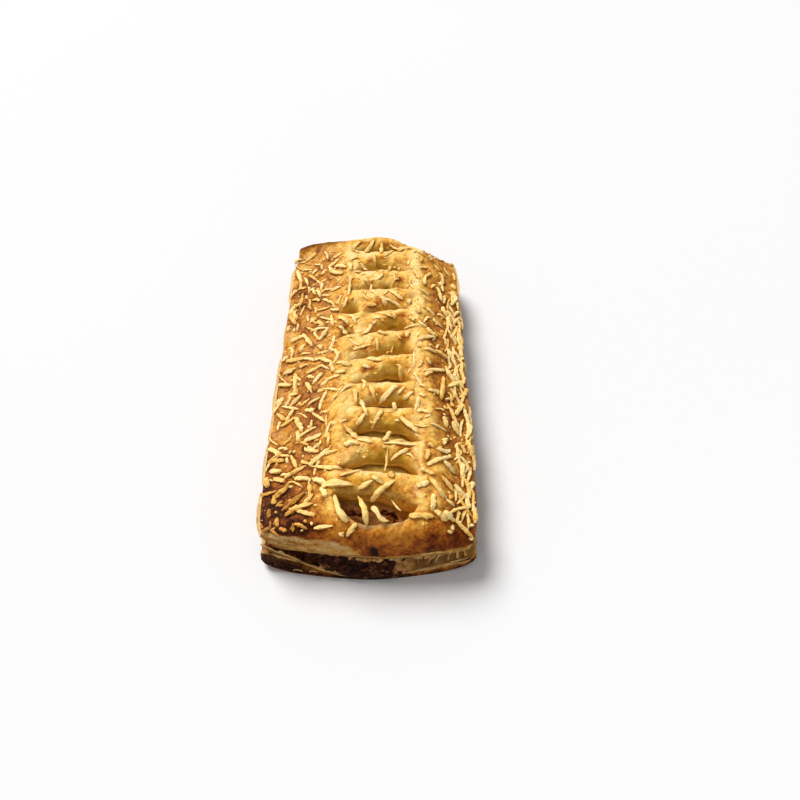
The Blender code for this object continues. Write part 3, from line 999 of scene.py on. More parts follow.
@dataclass
class TopCrust(Part):
    """The slit upper sheet, with its flanks rolled into the slits and its walls in leaves."""

    solid = "top_sheet"
    slot = "golden_crust"

    shade_marks: ShadeBesideShreds
    columns: int = 184
    strip_rows: int = 28
    far_rows: int = 20
    step: int = 4
    wall_layers: int = 14
    slit_layers: int = 6
    crowding: float = 0.55
    groove: float = 0.0014
    tuck: float = 0.0004
    edge_round: float = 0.0011
    slit_taper: float = 0.90
    flank_bulge: float = 0.0004
    leaves: Leaves = Leaves(count=7, seed=1.0)
    cut: Leaves = Leaves(count=4, ragged=0.0002, groove=0.0002, seed=31.0)

    def plan(self) -> tuple[Array, Array, Array, list[int]]:
        """Lattice lines of the sheet seen from above.

        Returns:
            Places across, places along as seen by the faces under each row and by those
            over it, and the rows on which slits lie.
        """
        across = np.linspace(-1.0, 1.0, self.columns + 1)
        x = across * SLAB.width / 2
        starts = [SLAB.end_line(across, NEAR.top, -1.0)]
        starts += [row.middle(x) + row.half(x) for row in SLIT_ROWS]
        stops = [row.middle(x) - row.half(x) for row in SLIT_ROWS]
        stops += [SLAB.end_line(across, FAR.top, 1.0)]
        counts = [self.strip_rows] * len(SLIT_ROWS) + [self.far_rows]
        strips = []
        for start, stop, count in zip(starts, stops, counts):
            share = np.linspace(0.0, 1.0, count + 1)[:, None]
            share -= self.crowding * np.sin(2 * np.pi * share) / (2 * np.pi)
            strips.append(mix(start, stop, share))
        below = np.concatenate([strips[0]] + [strip[1:] for strip in strips[1:]])
        above = below.copy()
        cut_rows = [self.strip_rows * (index + 1) for index in range(len(SLIT_ROWS))]
        for row, strip in zip(cut_rows, strips[1:]):
            above[row] = strip[0]
        return across, below, above, cut_rows

    def shape(self, across: Array, y: Array, top: bool) -> Array:
        """Places of one face's points.

        Args:
            across: Places between the long edges, -1 to 1.
            y: Places along.
            top: Whether it is the upper face.

        Returns:
            Points, one for each lattice point.
        """
        x = SLAB.side_line(across, y)
        height = (SLAB.top if top else SLAB.ceiling)(x, y)
        if top:
            from_edge = np.minimum((1 - np.abs(across)) * SLAB.width / 2, self.edge_round)
            rounded = 1 - np.sqrt(1 - (1 - from_edge / self.edge_round) ** 2)
            height -= self.edge_round * rounded
        x += SLAB.side_shift(across, y, -self.tuck if top else -self.groove)
        return np.stack((x, y, height), -1)

    def paint_top(self, points: Array, over: bool) -> Coat:
        """Paint of the upper face.

        Args:
            points: Places of the points.
            over: Whether a point on a slit belongs to the strip beyond it.

        Returns:
            The paint.
        """
        x, y = points[..., 0], points[..., 1]
        cream = ochre = deep = np.zeros(x.shape)
        toast = BROWNING.toast(x, y) + 0.05 * grain(x, y, 0.0022, 5.0)
        # Painted contact shade: the crust is darkened right beside each shred, where the shred would
        # shade it.
        beside = self.shade_marks.beside(x, y, 0.62 * MM)
        toast += 0.15 * beside * (1 + 0.8 * grain(x, y, 0.004, 53.0))
        russet = fade(-61, -67, y) + 0.4 * bell(x, y, (25 * MM, 57 * MM), (7 * MM, 10 * MM))
        browned = 0.20 + 0.80 * fade(-60, -46, y)
        for row in SLIT_ROWS:
            away = y - row.middle(x)
            beside = np.maximum(0, np.abs(away) - row.half(x))
            openness = row.openness(x) * row.column(x)
            beyond = away > 0.0 if not over else away >= 0.0
            lip = openness * hill(beside, 0.9 * MM)
            depth = 1.2 * MM + 1.7 * row.half(x)
            shade = smooth(depth, 0.0, beside + 0.3 * depth * grain(x, y, 0.004, 45.0))
            shade *= openness
            streak = grain(x, 14.0 * beside, 0.0075, 47.0 + row.slits[0].along / MM)
            streak = shade * smooth(0.05, 0.45, streak) * fade(0, 0.8, beside)
            cream = np.maximum(cream, np.where(beyond, 0.55 * streak, lip))
            # The ochre tint on the flank: underbaked dough's colour, with painted shade deepening
            # towards the slit.
            ochre = np.maximum(ochre, np.where(beyond, shade * browned, 0.0))
            # deep is strongest right at the slit, where the painted shade falls on the flank.
            deep = np.maximum(deep, np.where(beyond, shade**3, 0.0))
            ends = (row.column(x) - row.openness(x)) * hill(away, 2.5 * MM)
            cream = np.maximum(cream, 0.45 * np.clip(ends, 0.0, 1.0))
            crest = row.column(x) * (away > 0.0) * hill(beside - 3.6 * MM, 2.2 * MM)
            blotch = 0.15 + 0.34 * grain(x, y, 0.0048, 49.0)
            toast += crest * np.maximum(-0.04, blotch)
            cream *= 1 - 0.9 * smooth(0.02, 0.20, crest * blotch)
            russet += 1.6 * crest * np.maximum(0, blotch)
        share = SLAB.cut_share(x)
        depth = SLAB.cut_depth(x, y)
        cut = fade(1.8, 1.4, depth / np.maximum(0.3, share)) * smooth(0, 0.3, share)
        tone = 0.45 + 1.6 * grain(0.6 * x, 6.0 * depth, 0.0042, 37.0)
        middle = smooth(0.60, 0.30, np.abs(SLAB.across(x) - 0.06)) * fade(-58, -46, y)
        pale = 0.5 * middle * smooth(-0.05, 0.40, grain(x, y, 0.0065, 51.0)) * (1 - ochre)
        pale *= smooth(0.42, 0.28, toast)
        torn = SLAB.torn(x, y) * (0.45 + 1.5 * grain(x, y, 0.0017, 55.0))
        cream = np.maximum(cream, np.maximum(pale, torn))
        # Painted shade darkens the flank right at each slit, through the char mask.
        shaded = 0.30 * deep * (1 - np.minimum(1, 3.0 * cream))
        return {
            Paint.TOAST: mix(toast, 0.50, cut),
            Paint.CREAM: mix(cream * (0.75 + 0.5 * grain(x, y, 0.003, 11.0)), tone, cut),
            Paint.CHAR: BROWNING.char(x, y) * (1 - cut) + shaded,
            Paint.OCHRE: ochre,
            Paint.RUSSET: np.clip(russet, 0.0, 1.0) * (1 - cut),
            Paint.LEAVES: cut,
        }

    def paint_wall(self, points: Array, along: Array, height: Array) -> Coat:
        """Paint of the outer walls: glazed at the top, pale leaves under it.

        Args:
            points: Places of the points.
            along: Distance along the wall.
            height: Share up it.

        Returns:
            The paint.
        """
        x, y = points[:, 0], points[:, 1]
        glaze = smooth(0.74, 1.0, height + 0.10 * grain(along, 0.0, 0.004, 21.0))
        near = fade(-66, -68, y)
        glaze *= 1 - near * SLAB.cut_share(x)
        lip = near * smooth(0.30, 0.05, height) * fade(-12, 6, x)
        pale = np.clip(self.leaves.pale(along, height) + lip, 0.0, 1.0) * (1 - glaze)
        burnt_side = fade(-20, -70, y) * fade(-30, -38, x)
        # Ochre tint on the near wall's right side, under the lip: dough colour with painted shade.
        ochre = near * fade(-6, 6, x) * smooth(0.15, 0.5, height)
        return {
            Paint.TOAST: 0.44 + 0.5 * glaze * (BROWNING.toast(x, y) - 0.3) + 0.10 * burnt_side,
            Paint.CREAM: 0.85 * pale,
            Paint.CHAR: BROWNING.char(x, y) * glaze,
            Paint.OCHRE: 0.5 * ochre * (1 - glaze),
            Paint.RUSSET: 0.8 * near * glaze,
            Paint.LEAVES: 1 - glaze,
        }

    def paint_cut(self, points: Array, along: Array, height: Array) -> Coat:
        """Paint of a slit's wall.

        Args:
            points: Places of the points.
            along: Distance along the wall.
            height: Share up it.

        Returns:
            The paint.
        """
        pale = np.clip(self.cut.pale(along, height), 0.0, 1.0)
        char = fade(-58, -65, points[:, 1]) * smooth(0.8, 0.1, height)
        near = fade(-50, -56, points[:, 1])
        return {
            Paint.TOAST: 0.25 + 0.10 * near,
            Paint.CREAM: 0.8 * pale * smooth(0.2, 0.9, height) * (1 - 0.6 * near),
            Paint.CHAR: 0.4 * char,
            # Ochre tint on a slit's wall: underbaked dough's colour with painted shade.
            Paint.OCHRE: 0.8 - 0.6 * near,
        }

    def slit_loop(self, row: int, columns: Array, lattices: Sequence[Array]) -> Array:
        """Picks a slit's edge out of lattices of numbers or places, clockwise.

        Args:
            row: The lattice row that the slit lies on.
            columns: Columns from one of its ends to the other, both shut.
            lattices: The lattice as faces under the row use it, and as those over it do.

        Returns:
            The loop.
        """
        below, above = lattices
        return np.concatenate((above[row, columns[:-1]], below[row, columns[:0:-1]]))

    def build(self) -> Object:
        """The whole sheet as one closed mesh.

        Returns:
            The piece.
        """
        shell = Shell()
        across, *lines, cut_rows = self.plan()
        x = across * SLAB.width / 2
        opened = np.zeros(lines[0].shape, bool)
        for row, slits in zip(cut_rows, SLIT_ROWS):
            opened[row] = slits.half(x) > 0.0
        spots = [self.shape(across, y, True) for y in lines]
        middle = (lines[0] + lines[1]) / 2
        low_spots = [self.shape(across, mix(middle, y, self.slit_taper), False) for y in lines]
        upper = shell.add_face(spots, opened, self.paint_top)
        lower = shell.add_face(low_spots, opened, lambda points, over: {Paint.TOAST: 0.4})
        shell.quads(upper[1][:-1], upper[0][1:])
        coarse_faces(shell, *lower, self.step)
        edge = ring(len(middle) - 1, self.columns)
        rims = ((upper[0][edge], spots[0][edge]), (lower[0][edge], low_spots[0][edge]))
        add_wall(shell, *rims, self.wall_layers, self.leaves.relief, self.paint_wall)
        for row, slits in zip(cut_rows, SLIT_ROWS):
            for slit in slits.slits:
                inside = np.flatnonzero((x > slit.left) & (x < slit.right) & opened[row])
                columns = np.arange(inside[0] - 1, inside[-1] + 2)
                top_loop, top_spots, low_loop, low_loop_spots = (
                    self.slit_loop(row, columns, lattices)
                    for lattices in (upper, spots, lower, low_spots)
                )
                add_wall(
                    shell,
                    (top_loop, top_spots),
                    (low_loop, low_loop_spots),
                    self.slit_layers,
                    self.slit_relief(slit, top_spots),
                    self.paint_cut,
                )
        return shell.to_object("top_crust")

    def slit_relief(self, slit: Slit, spots: Array) -> Callable[[Array, Array], Array]:
        """Relief of one slit's wall: puffed in the middle, still at its two ends.

        Args:
            slit: The slit.
            spots: Places of its upper edge.

        Returns:
            A function of the distance along the wall and the share up it.
        """
        still = slit.share(spots[:, 0])

        def relief(along: Array, height: Array) -> Array:
            """Outward shift at each place."""
            puffed = self.flank_bulge * np.sin(np.pi * height)
            return still * (puffed + self.cut.relief(along, height))

        return relief


# Bottom sheet and filling


@dataclass
class BottomCrust(Part):
    """The lower sheet: flat and dark underneath, in leaves all round."""

    solid = "bottom_sheet"
    slot = "browned_crust"

    columns: int = 184
    rows: int = 336
    step: int = 8
    wall_layers: int = 12
    groove: float = 0.0014
    tuck: float = 0.0010
    spread: float = 0.0008
    near_corner: float = 0.0017
    fine_rows: int = 32
    left_hollow: float = 0.0026
    right_hollow: float = 0.0016
    leaves: Leaves = Leaves(count=4, seed=51.0)

    def shape(self, face: Callable[[Array, Array], Array], draw: float) -> Array:
        """Places of one face's points.

        Args:
            face: Height of that face.
            draw: How far its long edges draw in.

        Returns:
            Points by row and column.
        """
        across = np.linspace(-1.0, 1.0, self.columns + 1)
        along = np.linspace(0.0, 1.0, self.rows + 1)[:, None]
        near = SLAB.end_line(across, NEAR.base, -1.0)
        far = SLAB.end_line(across, FAR.base, 1.0)
        y = mix(near, far, along)
        x = SLAB.side_line(across, y)
        height = face(x, y)
        if face == SLAB.floor:
            height -= self.hollow(x, y - near)
        x += SLAB.side_shift(across, y, self.spread - draw)
        x += self.near_corner * across**5 * smooth(0.14, 0.0, along)
        lean = SLAB.lean * (height - SLAB.underside(x, y)) * np.abs(2.0 * along - 1.0) ** 30
        return np.stack((x, y + np.sign(0.5 - along) * lean, height), -1)

    def hollow(self, x: Array, depth: Array) -> Array:
        """How far the sheet falls behind its turned-up near rim.

        Args:
            x: Places across.
            depth: Distance in from the near edge.

        Returns:
            The drop at each place.
        """
        middle = between((-18, -9), (9, 15), x)
        side = mix(self.left_hollow, self.right_hollow, fade(-10, 10, x))
        rough = depth + 0.35 * MM * grain(x, depth, 0.003, 53.0)
        inside = fade(0.5, 1.7, rough) * fade(12, 8, depth)
        lumps = 1 + 0.5 * grain(x, depth, 0.0024, 55.0)
        uneven = 0.35 * MM * grain(x, 0.0, 0.0032, 57.0)
        return inside * (side * (1 - middle) * lumps - uneven)

    def paint_top(self, points: Array) -> Coat:
        """Paint of its upper face, which shows behind the near rim.

        Args:
            points: Places of the points.

        Returns:
            The paint.
        """
        x, y = points[..., 0], points[..., 1]
        depth = y - SLAB.end_line(SLAB.across(x), NEAR.base, -1.0) - 1.5 * MM
        middle = between((-16, -9), (9, 15), x)
        rim = fade(1, 0.4, depth + 0.4 * MM * grain(x, y, 0.003, 59.0)) * (1 - middle)
        right = fade(8, 16, x)
        tone = 0.70 - 0.50 * right + 0.25 * grain(x, y, 0.0035, 61.0)
        mottled = (0.4 + 0.3 * right) * grain(x, y, 0.0022, 63.0)
        return {
            Paint.TOAST: mix(tone, 0.35, rim),
            Paint.RUSSET: 0.6 * fade(6, 12, x),
            Paint.CREAM: 0.75 * rim + mottled + 0.55 * right,
            Paint.CHAR: 0.35 * middle,
            Paint.LEAVES: 1 - right,
        }

    def paint_wall(self, points: Array, along: Array, height: Array) -> Coat:
        """Paint of its walls: dark at the table, paler leaves and a pale rim.

        Args:
            points: Places of the points.
            along: Distance along the wall.
            height: Share up it.

        Returns:
            The paint.
        """
        x, y = points[:, 0], points[:, 1]
        near = fade(-60, -68, y)
        middle = near * between((-16, -9), (10, 18), x)
        rim = smooth(0.74, 0.95, height + 0.16 * grain(along, 0.0, 0.003, 23.0))
        pale = np.clip(self.leaves.pale(along, height), 0.0, 1.0)
        left = near * fade(-5, -30, x)
        toast = mix(0.78 + 0.08 * near, 0.50, smooth(0, 0.8, height))
        return {
            Paint.TOAST: toast + 0.14 * left * (1 - rim),
            Paint.CREAM: (0.9 * rim + 0.35 * pale * (1 - near)) * (1 - middle),
            Paint.CHAR: 0.55 * middle + (0.45 * left + 0.2 * near) * (1 - rim),
            Paint.LEAVES: 1.0,
        }

    def build(self) -> Object:
        """The whole sheet as one closed mesh.

        Returns:
            The piece.
        """
        shell = Shell()
        top = self.shape(SLAB.floor, self.groove)
        bottom = self.shape(SLAB.underside, self.tuck)
        mottled = 0.70 + 0.12 * grain(bottom[..., 0], bottom[..., 1], 0.009, 3.0)
        upper = shell.add(top, self.paint_top(top))
        lower = shell.add(bottom, {Paint.TOAST: mottled, Paint.CHAR: 0.1})
        shell.quads(upper[: self.fine_rows], upper[1 : self.fine_rows + 1])
        coarse_faces(shell, upper[self.fine_rows :], upper[self.fine_rows :], self.step)
        coarse_faces(shell, lower, lower, self.step)
        edge = ring(self.rows, self.columns)
        rims = ((upper[edge], top[edge]), (lower[edge], bottom[edge]))
        add_wall(shell, *rims, self.wall_layers, self.relief, self.paint_wall)
        return shell.to_object("bottom_crust")

    def relief(self, along: Array, height: Array) -> Array:
        """Relief of its leaves, which fades out towards the flat underside."""
        return self.leaves.relief(along, height) * smooth(0, 0.25, height)


@dataclass
class Filling(Part):
    """Cheese filling that shows in the slits and swells out, burnt, at the near end."""

    solid = "filling"
    slot = "cheese_filling"

    columns: int = 144
    rows: int = 240
    step: int = 8
    wall_layers: int = 18
    share: float = 0.75
    belly: float = 0.0013
    left_recess: float = 0.0060
    drape: float = 0.0012
    lump: float = 0.0005
    pocket_left: float = 0.016
    pocket_depth: float = 0.009
    end_power: int = 12

    def shape(self, top: bool) -> Array:
        """Places of one face's points.

        Args:
            top: Whether it is the upper face.

        Returns:
            Points by row and column.
        """
        across = np.linspace(-self.share, self.share, self.columns + 1)
        side = np.linspace(-1.0, 1.0, self.rows + 1)[:, None]
        inset = 0.0006 if top else 0.0004
        near = SLAB.end_line(across, NEAR.top if top else NEAR.base, -1.0, inset)
        far = SLAB.end_line(across, FAR.top if top else FAR.base, 1.0, inset)
        y = mix(near, far, (side + 1.0) / 2)
        x = across * SLAB.width / 2 + 0.0 * y
        front = np.maximum(0, -side) ** self.end_power
        pocket = smooth(self.pocket_left - 3 * MM, self.pocket_left + 2 * MM, x) * front
        y += self.pocket_depth * pocket
        y += self.left_recess * fade(-15, -28, x) * front
        draped = between((-18, -8), (9, 15), x) * front
        clear = SLAB.gap * (1 + 3.0 * np.minimum(1, 3.0 * pocket))
        if top:
            inland = 1 - np.abs(side) ** self.end_power
            lumps = np.abs(grain(x, y, 0.0026, 15.0)) + 0.5 * np.abs(grain(x, y, 0.0011, 17.0))
            return np.stack((x, y, SLAB.ceiling(x, y) - clear - self.lump * inland * lumps), -1)
        low = SLAB.floor(x, y) + clear
        lean = SLAB.lean * low * np.abs(side) ** 30
        y = y - np.sign(side) * lean - self.drape * draped
        return np.stack((x, y, mix(low, 0.4 * MM, draped)), -1)

    def relief(self, along: Array, height: Array) -> Array:
        """Lumps and pits of its ends, swelling out in the middle of their height.

        Args:
            along: Distance along the wall.
            height: Share up it.

        Returns:
            The relief at each place, in metres.
        """
        lumps = 1.3 * grain(along, 0.007 * height, 0.0036, 19.0)
        lumps += 1.1 * np.abs(grain(along, 0.007 * height, 0.0018, 20.0)) ** 0.7
        return self.belly * np.sin(np.pi * np.clip(height, 0.04, 0.96)) * (0.5 + 1.3 * lumps)

    def paint(self, points: Array) -> Coat:
        """Paint of the whole filling: pale cheese, burnt towards the near end.

        Args:
            points: Places of the points.

        Returns:
            The paint.
        """
        x, y, z = points[..., 0], points[..., 1], points[..., 2]
        burnt = fade(-55, -61, y + 2 * MM * grain(x, y, 0.004, 25.0))
        far = fade(66, 74, y)
        pocket = fade(4, 17, x + 7 * MM * grain(x, z, 0.0026, 31.0))
        front = fade(-66.5, -68.5, y)
        char = 0.46 + 1.1 * grain(x, y + z, 0.0036, 29.0) + 0.26 * fade(2, -6, x)
        char = burnt * mix(char, char * (1 - 0.9 * front), pocket)
        toast = mix(0.45, 0.25, pocket) * burnt + 0.22 * grain(x, y, 0.0035, 27.0)
        return {
            Paint.TOAST: 0.30 + toast + 0.3 * far,
            Paint.CHAR: char + 0.9 * front * (1 - pocket),
            Paint.CREAM: 0.14 + 0.6 * grain(x, y, 0.0030, 33.0),
        }

    def build(self) -> Object:
        """The filling as one closed mesh.

        Returns:
            The piece.
        """
        shell = Shell()
        top, bottom = self.shape(True), self.shape(False)
        upper = shell.add(top, self.paint(top))
        lower = shell.add(bottom, self.paint(bottom))
        shell.quads(upper[:-1], upper[1:])
        coarse_faces(shell, lower, lower, self.step)
        edge = ring(self.rows, self.columns)
        rims = ((upper[edge], top[edge]), (lower[edge], bottom[edge]))
        add_wall(shell, *rims, self.wall_layers, self.relief, lambda points, *_: self.paint(points))
        return shell.to_object("cheese_filling", crease=70.0)


# Grated cheese


class Bend(Enum):
    """How a shred of cheese lies: turn along it, and turn of its last third, in radians."""

    STRAIGHT = (0.0, 0.0)
    CURVED = (0.55, 0.0)
    HOOKED = (0.15, 1.1)


@dataclass(frozen=True)
class Shred:
    """One strip of grated cheese, in millimetres and degrees from +X."""

    x: float
    y: float
    heading: float
    length: float
    width: float = 1.7
    bend: Bend = Bend.STRAIGHT
    mirror: float = 1.0
    thick: float = 0.75


@dataclass(frozen=True)
class Zone:
    """One stretch of the top where grated cheese lies, in millimetres."""

    left: float
    right: float
    near: float
    far: float
    count: int
    spacing: float
    length: Pair
    heading: Pair = (0.0, 180.0)


@dataclass
class GratedCheese(Part):
    """Shreds baked on the crust: the ones that stand out, and the many between them."""

    seed: int = 31
    rings: int = 11
    sides: int = 8
    tries: int = 5000
    clearance: float = 0.0006
    sunk: float = 0.28
    squareness: float = 3.4
    marked: tuple[Shred, ...] = (
        Shred(-9.2, -61.4, -66, 10.5, 1.9, Bend.CURVED),
        Shred(-1.4, -61.2, -72, 12.0, 1.9, Bend.CURVED, -1.0),
        Shred(3.8, -63.2, -62, 9.4, 1.8, Bend.HOOKED), Shred(9.6, -59.8, -58, 6.2, 0.6),
        Shred(-10.2, -52.9, -2, 10.5, 2.3), Shred(-16.8, -50.6, -30, 6.5, 1.9),
        Shred(5.0, -54.6, 33, 9.8, 2.0), Shred(-0.6, -53.2, 28, 5.2, 1.9),
        Shred(3.2, -51.6, -32, 4.6, 1.4), Shred(-17.4, -40.6, 40, 9.6, 1.7),
        Shred(-26.0, -45.6, 26, 9.0, 1.5), Shred(-14.6, -45.8, -17, 12.0, 1.4),
        Shred(-22.8, -49.0, -10, 5.6, 1.8), Shred(-29.5, -52.4, 42, 6.4, 2.3),
        Shred(-24.6, -56.6, 38, 9.4, 1.8), Shred(-22.4, -59.2, 12, 8.2, 1.8),
        Shred(-20.4, -57.2, 55, 6.0, 1.6), Shred(-21.0, -61.4, -18, 7.2, 1.7),
        Shred(-25.6, -60.6, 25, 5.6, 2.0), Shred(-14.4, -66.6, -2, 6.6, 1.4),
        Shred(-5.0, -67.8, 42, 4.6, 1.6), Shred(-33.4, -44.2, -10, 4.8, 1.9),
        Shred(-33.4, -39.8, -4, 6.2, 1.8), Shred(18.0, -64.2, -3, 8.4, 2.0),
        Shred(21.8, -59.8, 84, 6.0, 1.8), Shred(24.0, -63.8, -32, 5.4, 2.1),
        Shred(27.0, -63.6, -30, 4.4, 2.1), Shred(30.8, -60.4, 31, 9.6, 1.1, Bend.CURVED, -1.0),
        Shred(32.0, -66.4, -36, 8.6, 1.8), Shred(23.4, -54.4, -54, 8.4, 1.9),
        Shred(27.2, -51.6, -50, 6.4, 1.7), Shred(32.2, -53.8, -45, 7.4, 1.6),
        Shred(24.8, -43.2, 30, 10.4, 1.6), Shred(28.0, -44.8, -40, 5.4, 1.6),
        Shred(33.0, -44.6, 84, 6.6, 1.7), Shred(-6.2, -32.6, -44, 7.6, 1.7),
        Shred(6.6, -33.4, 60, 6.0, 1.6), Shred(11.0, -37.2, -4, 12.0, 1.2),
        Shred(-1.6, -35.6, -14, 6.4, 1.3), Shred(14.4, -29.2, -46, 9.6, 2.0),
        Shred(6.2, -43.4, 84, 9.4, 0.9), Shred(6.8, -14.6, 40, 9.0, 2.1),
        Shred(-2.2, -21.6, -72, 8.0, 1.5), Shred(-5.6, -16.4, -84, 7.0, 1.8),
        Shred(9.0, -20.4, -80, 4.4, 1.5), Shred(27.4, -10.4, 83, 12.6, 1.7),
        Shred(32.0, -7.2, 40, 6.2, 1.9), Shred(33.6, -18.2, 62, 7.4, 1.7),
        Shred(25.0, -3.0, 26, 8.6, 1.5), Shred(-30.0, -6.0, -84, 10.0, 1.8),
        Shred(-24.2, -8.8, -62, 7.2, 1.8), Shred(-29.0, -14.0, 46, 6.0, 1.5),
        Shred(7.4, 7.2, 62, 6.8, 1.0, Bend.CURVED), Shred(2.2, 9.6, -85, 5.8, 1.2),
        Shred(1.0, 1.6, -12, 6.2, 1.7), Shred(22.2, 12.8, 28, 6.8, 1.7),
        Shred(-27.0, 16.6, -60, 10.2, 1.9), Shred(-31.0, 6.6, -4, 8.4, 1.8),
        Shred(-25.2, 5.4, -24, 5.6, 1.6), Shred(32.6, 6.2, -70, 8.8, 1.7),
        Shred(-10.4, 43.0, 88, 12.0, 1.3), Shred(-1.2, 42.0, 88, 6.2, 0.9),
        Shred(9.8, 37.2, -44, 7.8, 1.5), Shred(8.4, 33.4, -24, 8.6, 1.5, Bend.CURVED, -1.0),
        Shred(28.8, 40.6, -76, 7.4, 1.7), Shred(-2.2, 69.4, 66, 9.4, 1.8),
        Shred(3.0, 68.2, 90, 8.0, 1.7), Shred(-34.4, 57.0, -72, 9.4, 1.9),
        Shred(-28.0, 54.0, -50, 7.2, 1.6), Shred(6.8, 53.6, 80, 3.6, 1.6),
    )
    zones: tuple[Zone, ...] = (
        Zone(-36.5, -14.0, -55.0, 69.0, 128, 2.9, (2.8, 7.2)),
        Zone(-36.0, -22.0, -68.0, -55.0, 10, 2.6, (2.2, 4.6)),
        Zone(29.8, 36.8, -66.0, 46.0, 76, 1.9, (3.6, 9.0), (48.0, 125.0)),
        Zone(29.8, 36.8, 46.0, 66.0, 6, 3.0, (3.6, 7.0), (48.0, 125.0)),
        Zone(18.5, 30.5, -60.0, 66.0, 40, 3.6, (2.6, 6.0)),
        Zone(-13.0, 18.0, -50.0, 70.0, 60, 3.4, (2.6, 7.6)),
    )

    def clear_of_slits(self, x: float, y: float) -> bool:
        """Whether a place lies on the crust, away from the openings.

        Args:
            x: The place across, in millimetres.
            y: The place along, in millimetres.

        Returns:
            Whether it does.
        """
        place = np.array([x * MM])
        return all(
            abs(y * MM - row.middle(place)[0]) - row.half(place)[0] > self.clearance
            or row.openness(place)[0] == 0.0
            for row in SLIT_ROWS
        )

    def scatter(self, draw: random.Random) -> list[Shred]:
        """Shreds in every zone, each kept clear of the last ones.

        Args:
            draw: The seeded source of chance.

        Returns:
            The shreds.
        """
        taken = [(shred.x, shred.y) for shred in self.marked]
        shreds = []
        for zone in self.zones:
            found = 0
            for _ in range(self.tries):
                if found == zone.count:
                    break
                x, y = draw.uniform(zone.left, zone.right), draw.uniform(zone.near, zone.far)
                near_one = any(math.hypot(x - a, y - b) < zone.spacing for a, b in taken)
                if near_one or not self.clear_of_slits(x, y):
                    continue
                found += 1
                taken.append((x, y))
                heading, length = draw.uniform(*zone.heading), 1.07 * draw.uniform(*zone.length)
                width, bend = draw.triangular(0.65, 2.2, 1.2), draw.choice(list(Bend))
                mirror, thick = draw.choice((-1.0, 1.0)), draw.uniform(0.45, 0.8)
                shreds.append(Shred(x, y, heading, length, width, bend, mirror, thick))
        return shreds

    def centre_line(self, shred: Shred) -> Array:
        """Middle of a shred from end to end, lying on the crust and over the slits.

        Args:
            shred: The shred.

        Returns:
            Points along it.
        """
        share = np.linspace(-0.5, 0.5, self.rings)
        turn, hook = shred.bend.value
        heading = math.radians(shred.heading)
        heading += shred.mirror * (turn * share + hook * smooth(0.10, 0.5, share))
        step = shred.length * MM / (self.rings - 1)
        x = np.cumsum(np.cos(heading)) * step
        y = np.cumsum(np.sin(heading)) * step
        x, y = x - x.mean() + shred.x * MM, y - y.mean() + shred.y * MM
        x = np.clip(x, -SLAB.width / 2 + 0.9 * MM, SLAB.width / 2 - 0.9 * MM)
        bed = SLAB.top(x, y)
        held = bed.copy()
        for _ in range(6):
            held[1:-1] = np.maximum(bed[1:-1], (held[:-2] + held[2:]) / 2)
        return np.stack((x, y, held), -1)

    def add_shred(self, shell: Shell, shred: Shred, draw: random.Random) -> None:
        """One lumpy bent strip with blunt ends.

        Args:
            shell: The mesh that it goes into.
            shred: The shred.
            draw: The seeded source of chance.
        """
        line = self.centre_line(shred)
        along = np.gradient(line, axis=0)
        along /= np.maximum(np.linalg.norm(along, axis=1, keepdims=True), 1e-9)
        side = np.cross(np.array([0.0, 0.0, 1.0]), along)
        side /= np.maximum(np.linalg.norm(side, axis=1, keepdims=True), 1e-9)
        up = np.cross(along, side)
        share = np.linspace(-1.0, 1.0, self.rings)
        torn = np.where(share < 0.0, draw.uniform(0.35, 0.95), draw.uniform(0.35, 0.95))
        blunt = 1 - np.abs(share) ** draw.uniform(2.0, 6.0) * torn
        blunt *= 1 - 0.28 * share * draw.uniform(-1, 1)
        lumps = grain(share * shred.length, shred.x + shred.y, 1.6, draw.uniform(0, 9))
        width = shred.width * MM / 2 * blunt * (1 + 0.42 * lumps)
        thick = width * shred.thick * (1 - 0.25 * lumps)
        angle = np.linspace(0.0, 2 * np.pi, self.sides, endpoint=False) + 0.2
        power = self.squareness
        square = (np.abs(np.cos(angle)) ** power + np.abs(np.sin(angle)) ** power) ** (-1 / power)
        reach = share[:, None] * shred.length
        ragged = grain(reach + 40.0, angle * 0.75 + shred.x, 0.85, draw.uniform(0, 9))
        ragged = square * (1 + 0.44 * ragged)
        twist = draw.uniform(-0.8, 0.8) * share[:, None] + draw.uniform(-0.4, 0.4)
        sideways, upward = np.cos(angle) * ragged, np.sin(angle) * ragged
        across = sideways * np.cos(twist) - upward * np.sin(twist)
        above = sideways * np.sin(twist) + upward * np.cos(twist)
        points = line + up * (thick * (1 - 2 * self.sunk))[:, None]
        points = points[:, None] + side[:, None] * (across * width[:, None])[..., None]
        points += up[:, None] * (above * thick[:, None])[..., None]
        toast = draw.triangular(0.0, 0.40, 0.02)
        toast += 0.4 * np.abs(share[:, None]) ** 6 * draw.uniform(0.0, 1.0)
        toast = toast + 0.16 * grain(reach, angle, 1.1, 3.0)
        place = np.array([shred.x * MM]), np.array([shred.y * MM])
        baked = float(BROWNING.toast(*place)[0])
        corner = smooth(-12, -24, shred.x) * smooth(-44, -58, shred.y)
        toast = toast + 0.55 * max(0.0, baked - 0.50) + 0.10 * smooth(-62, -70, shred.y)
        # Darker on its lower sides: partly toasting where it sits on the crust, partly painted shade
        # under its lit top.
        toast = toast + 0.16 * corner + 0.80 * smooth(0.62, -0.50, above)
        numbers = shell.add(points, {Paint.TOAST: toast})
        for first, second in zip(numbers[:-1], numbers[1:]):
            shell.loops(first, second)
        shell.faces.append(tuple(numbers[0][::-1].tolist()))
        shell.faces.append(tuple(numbers[-1].tolist()))

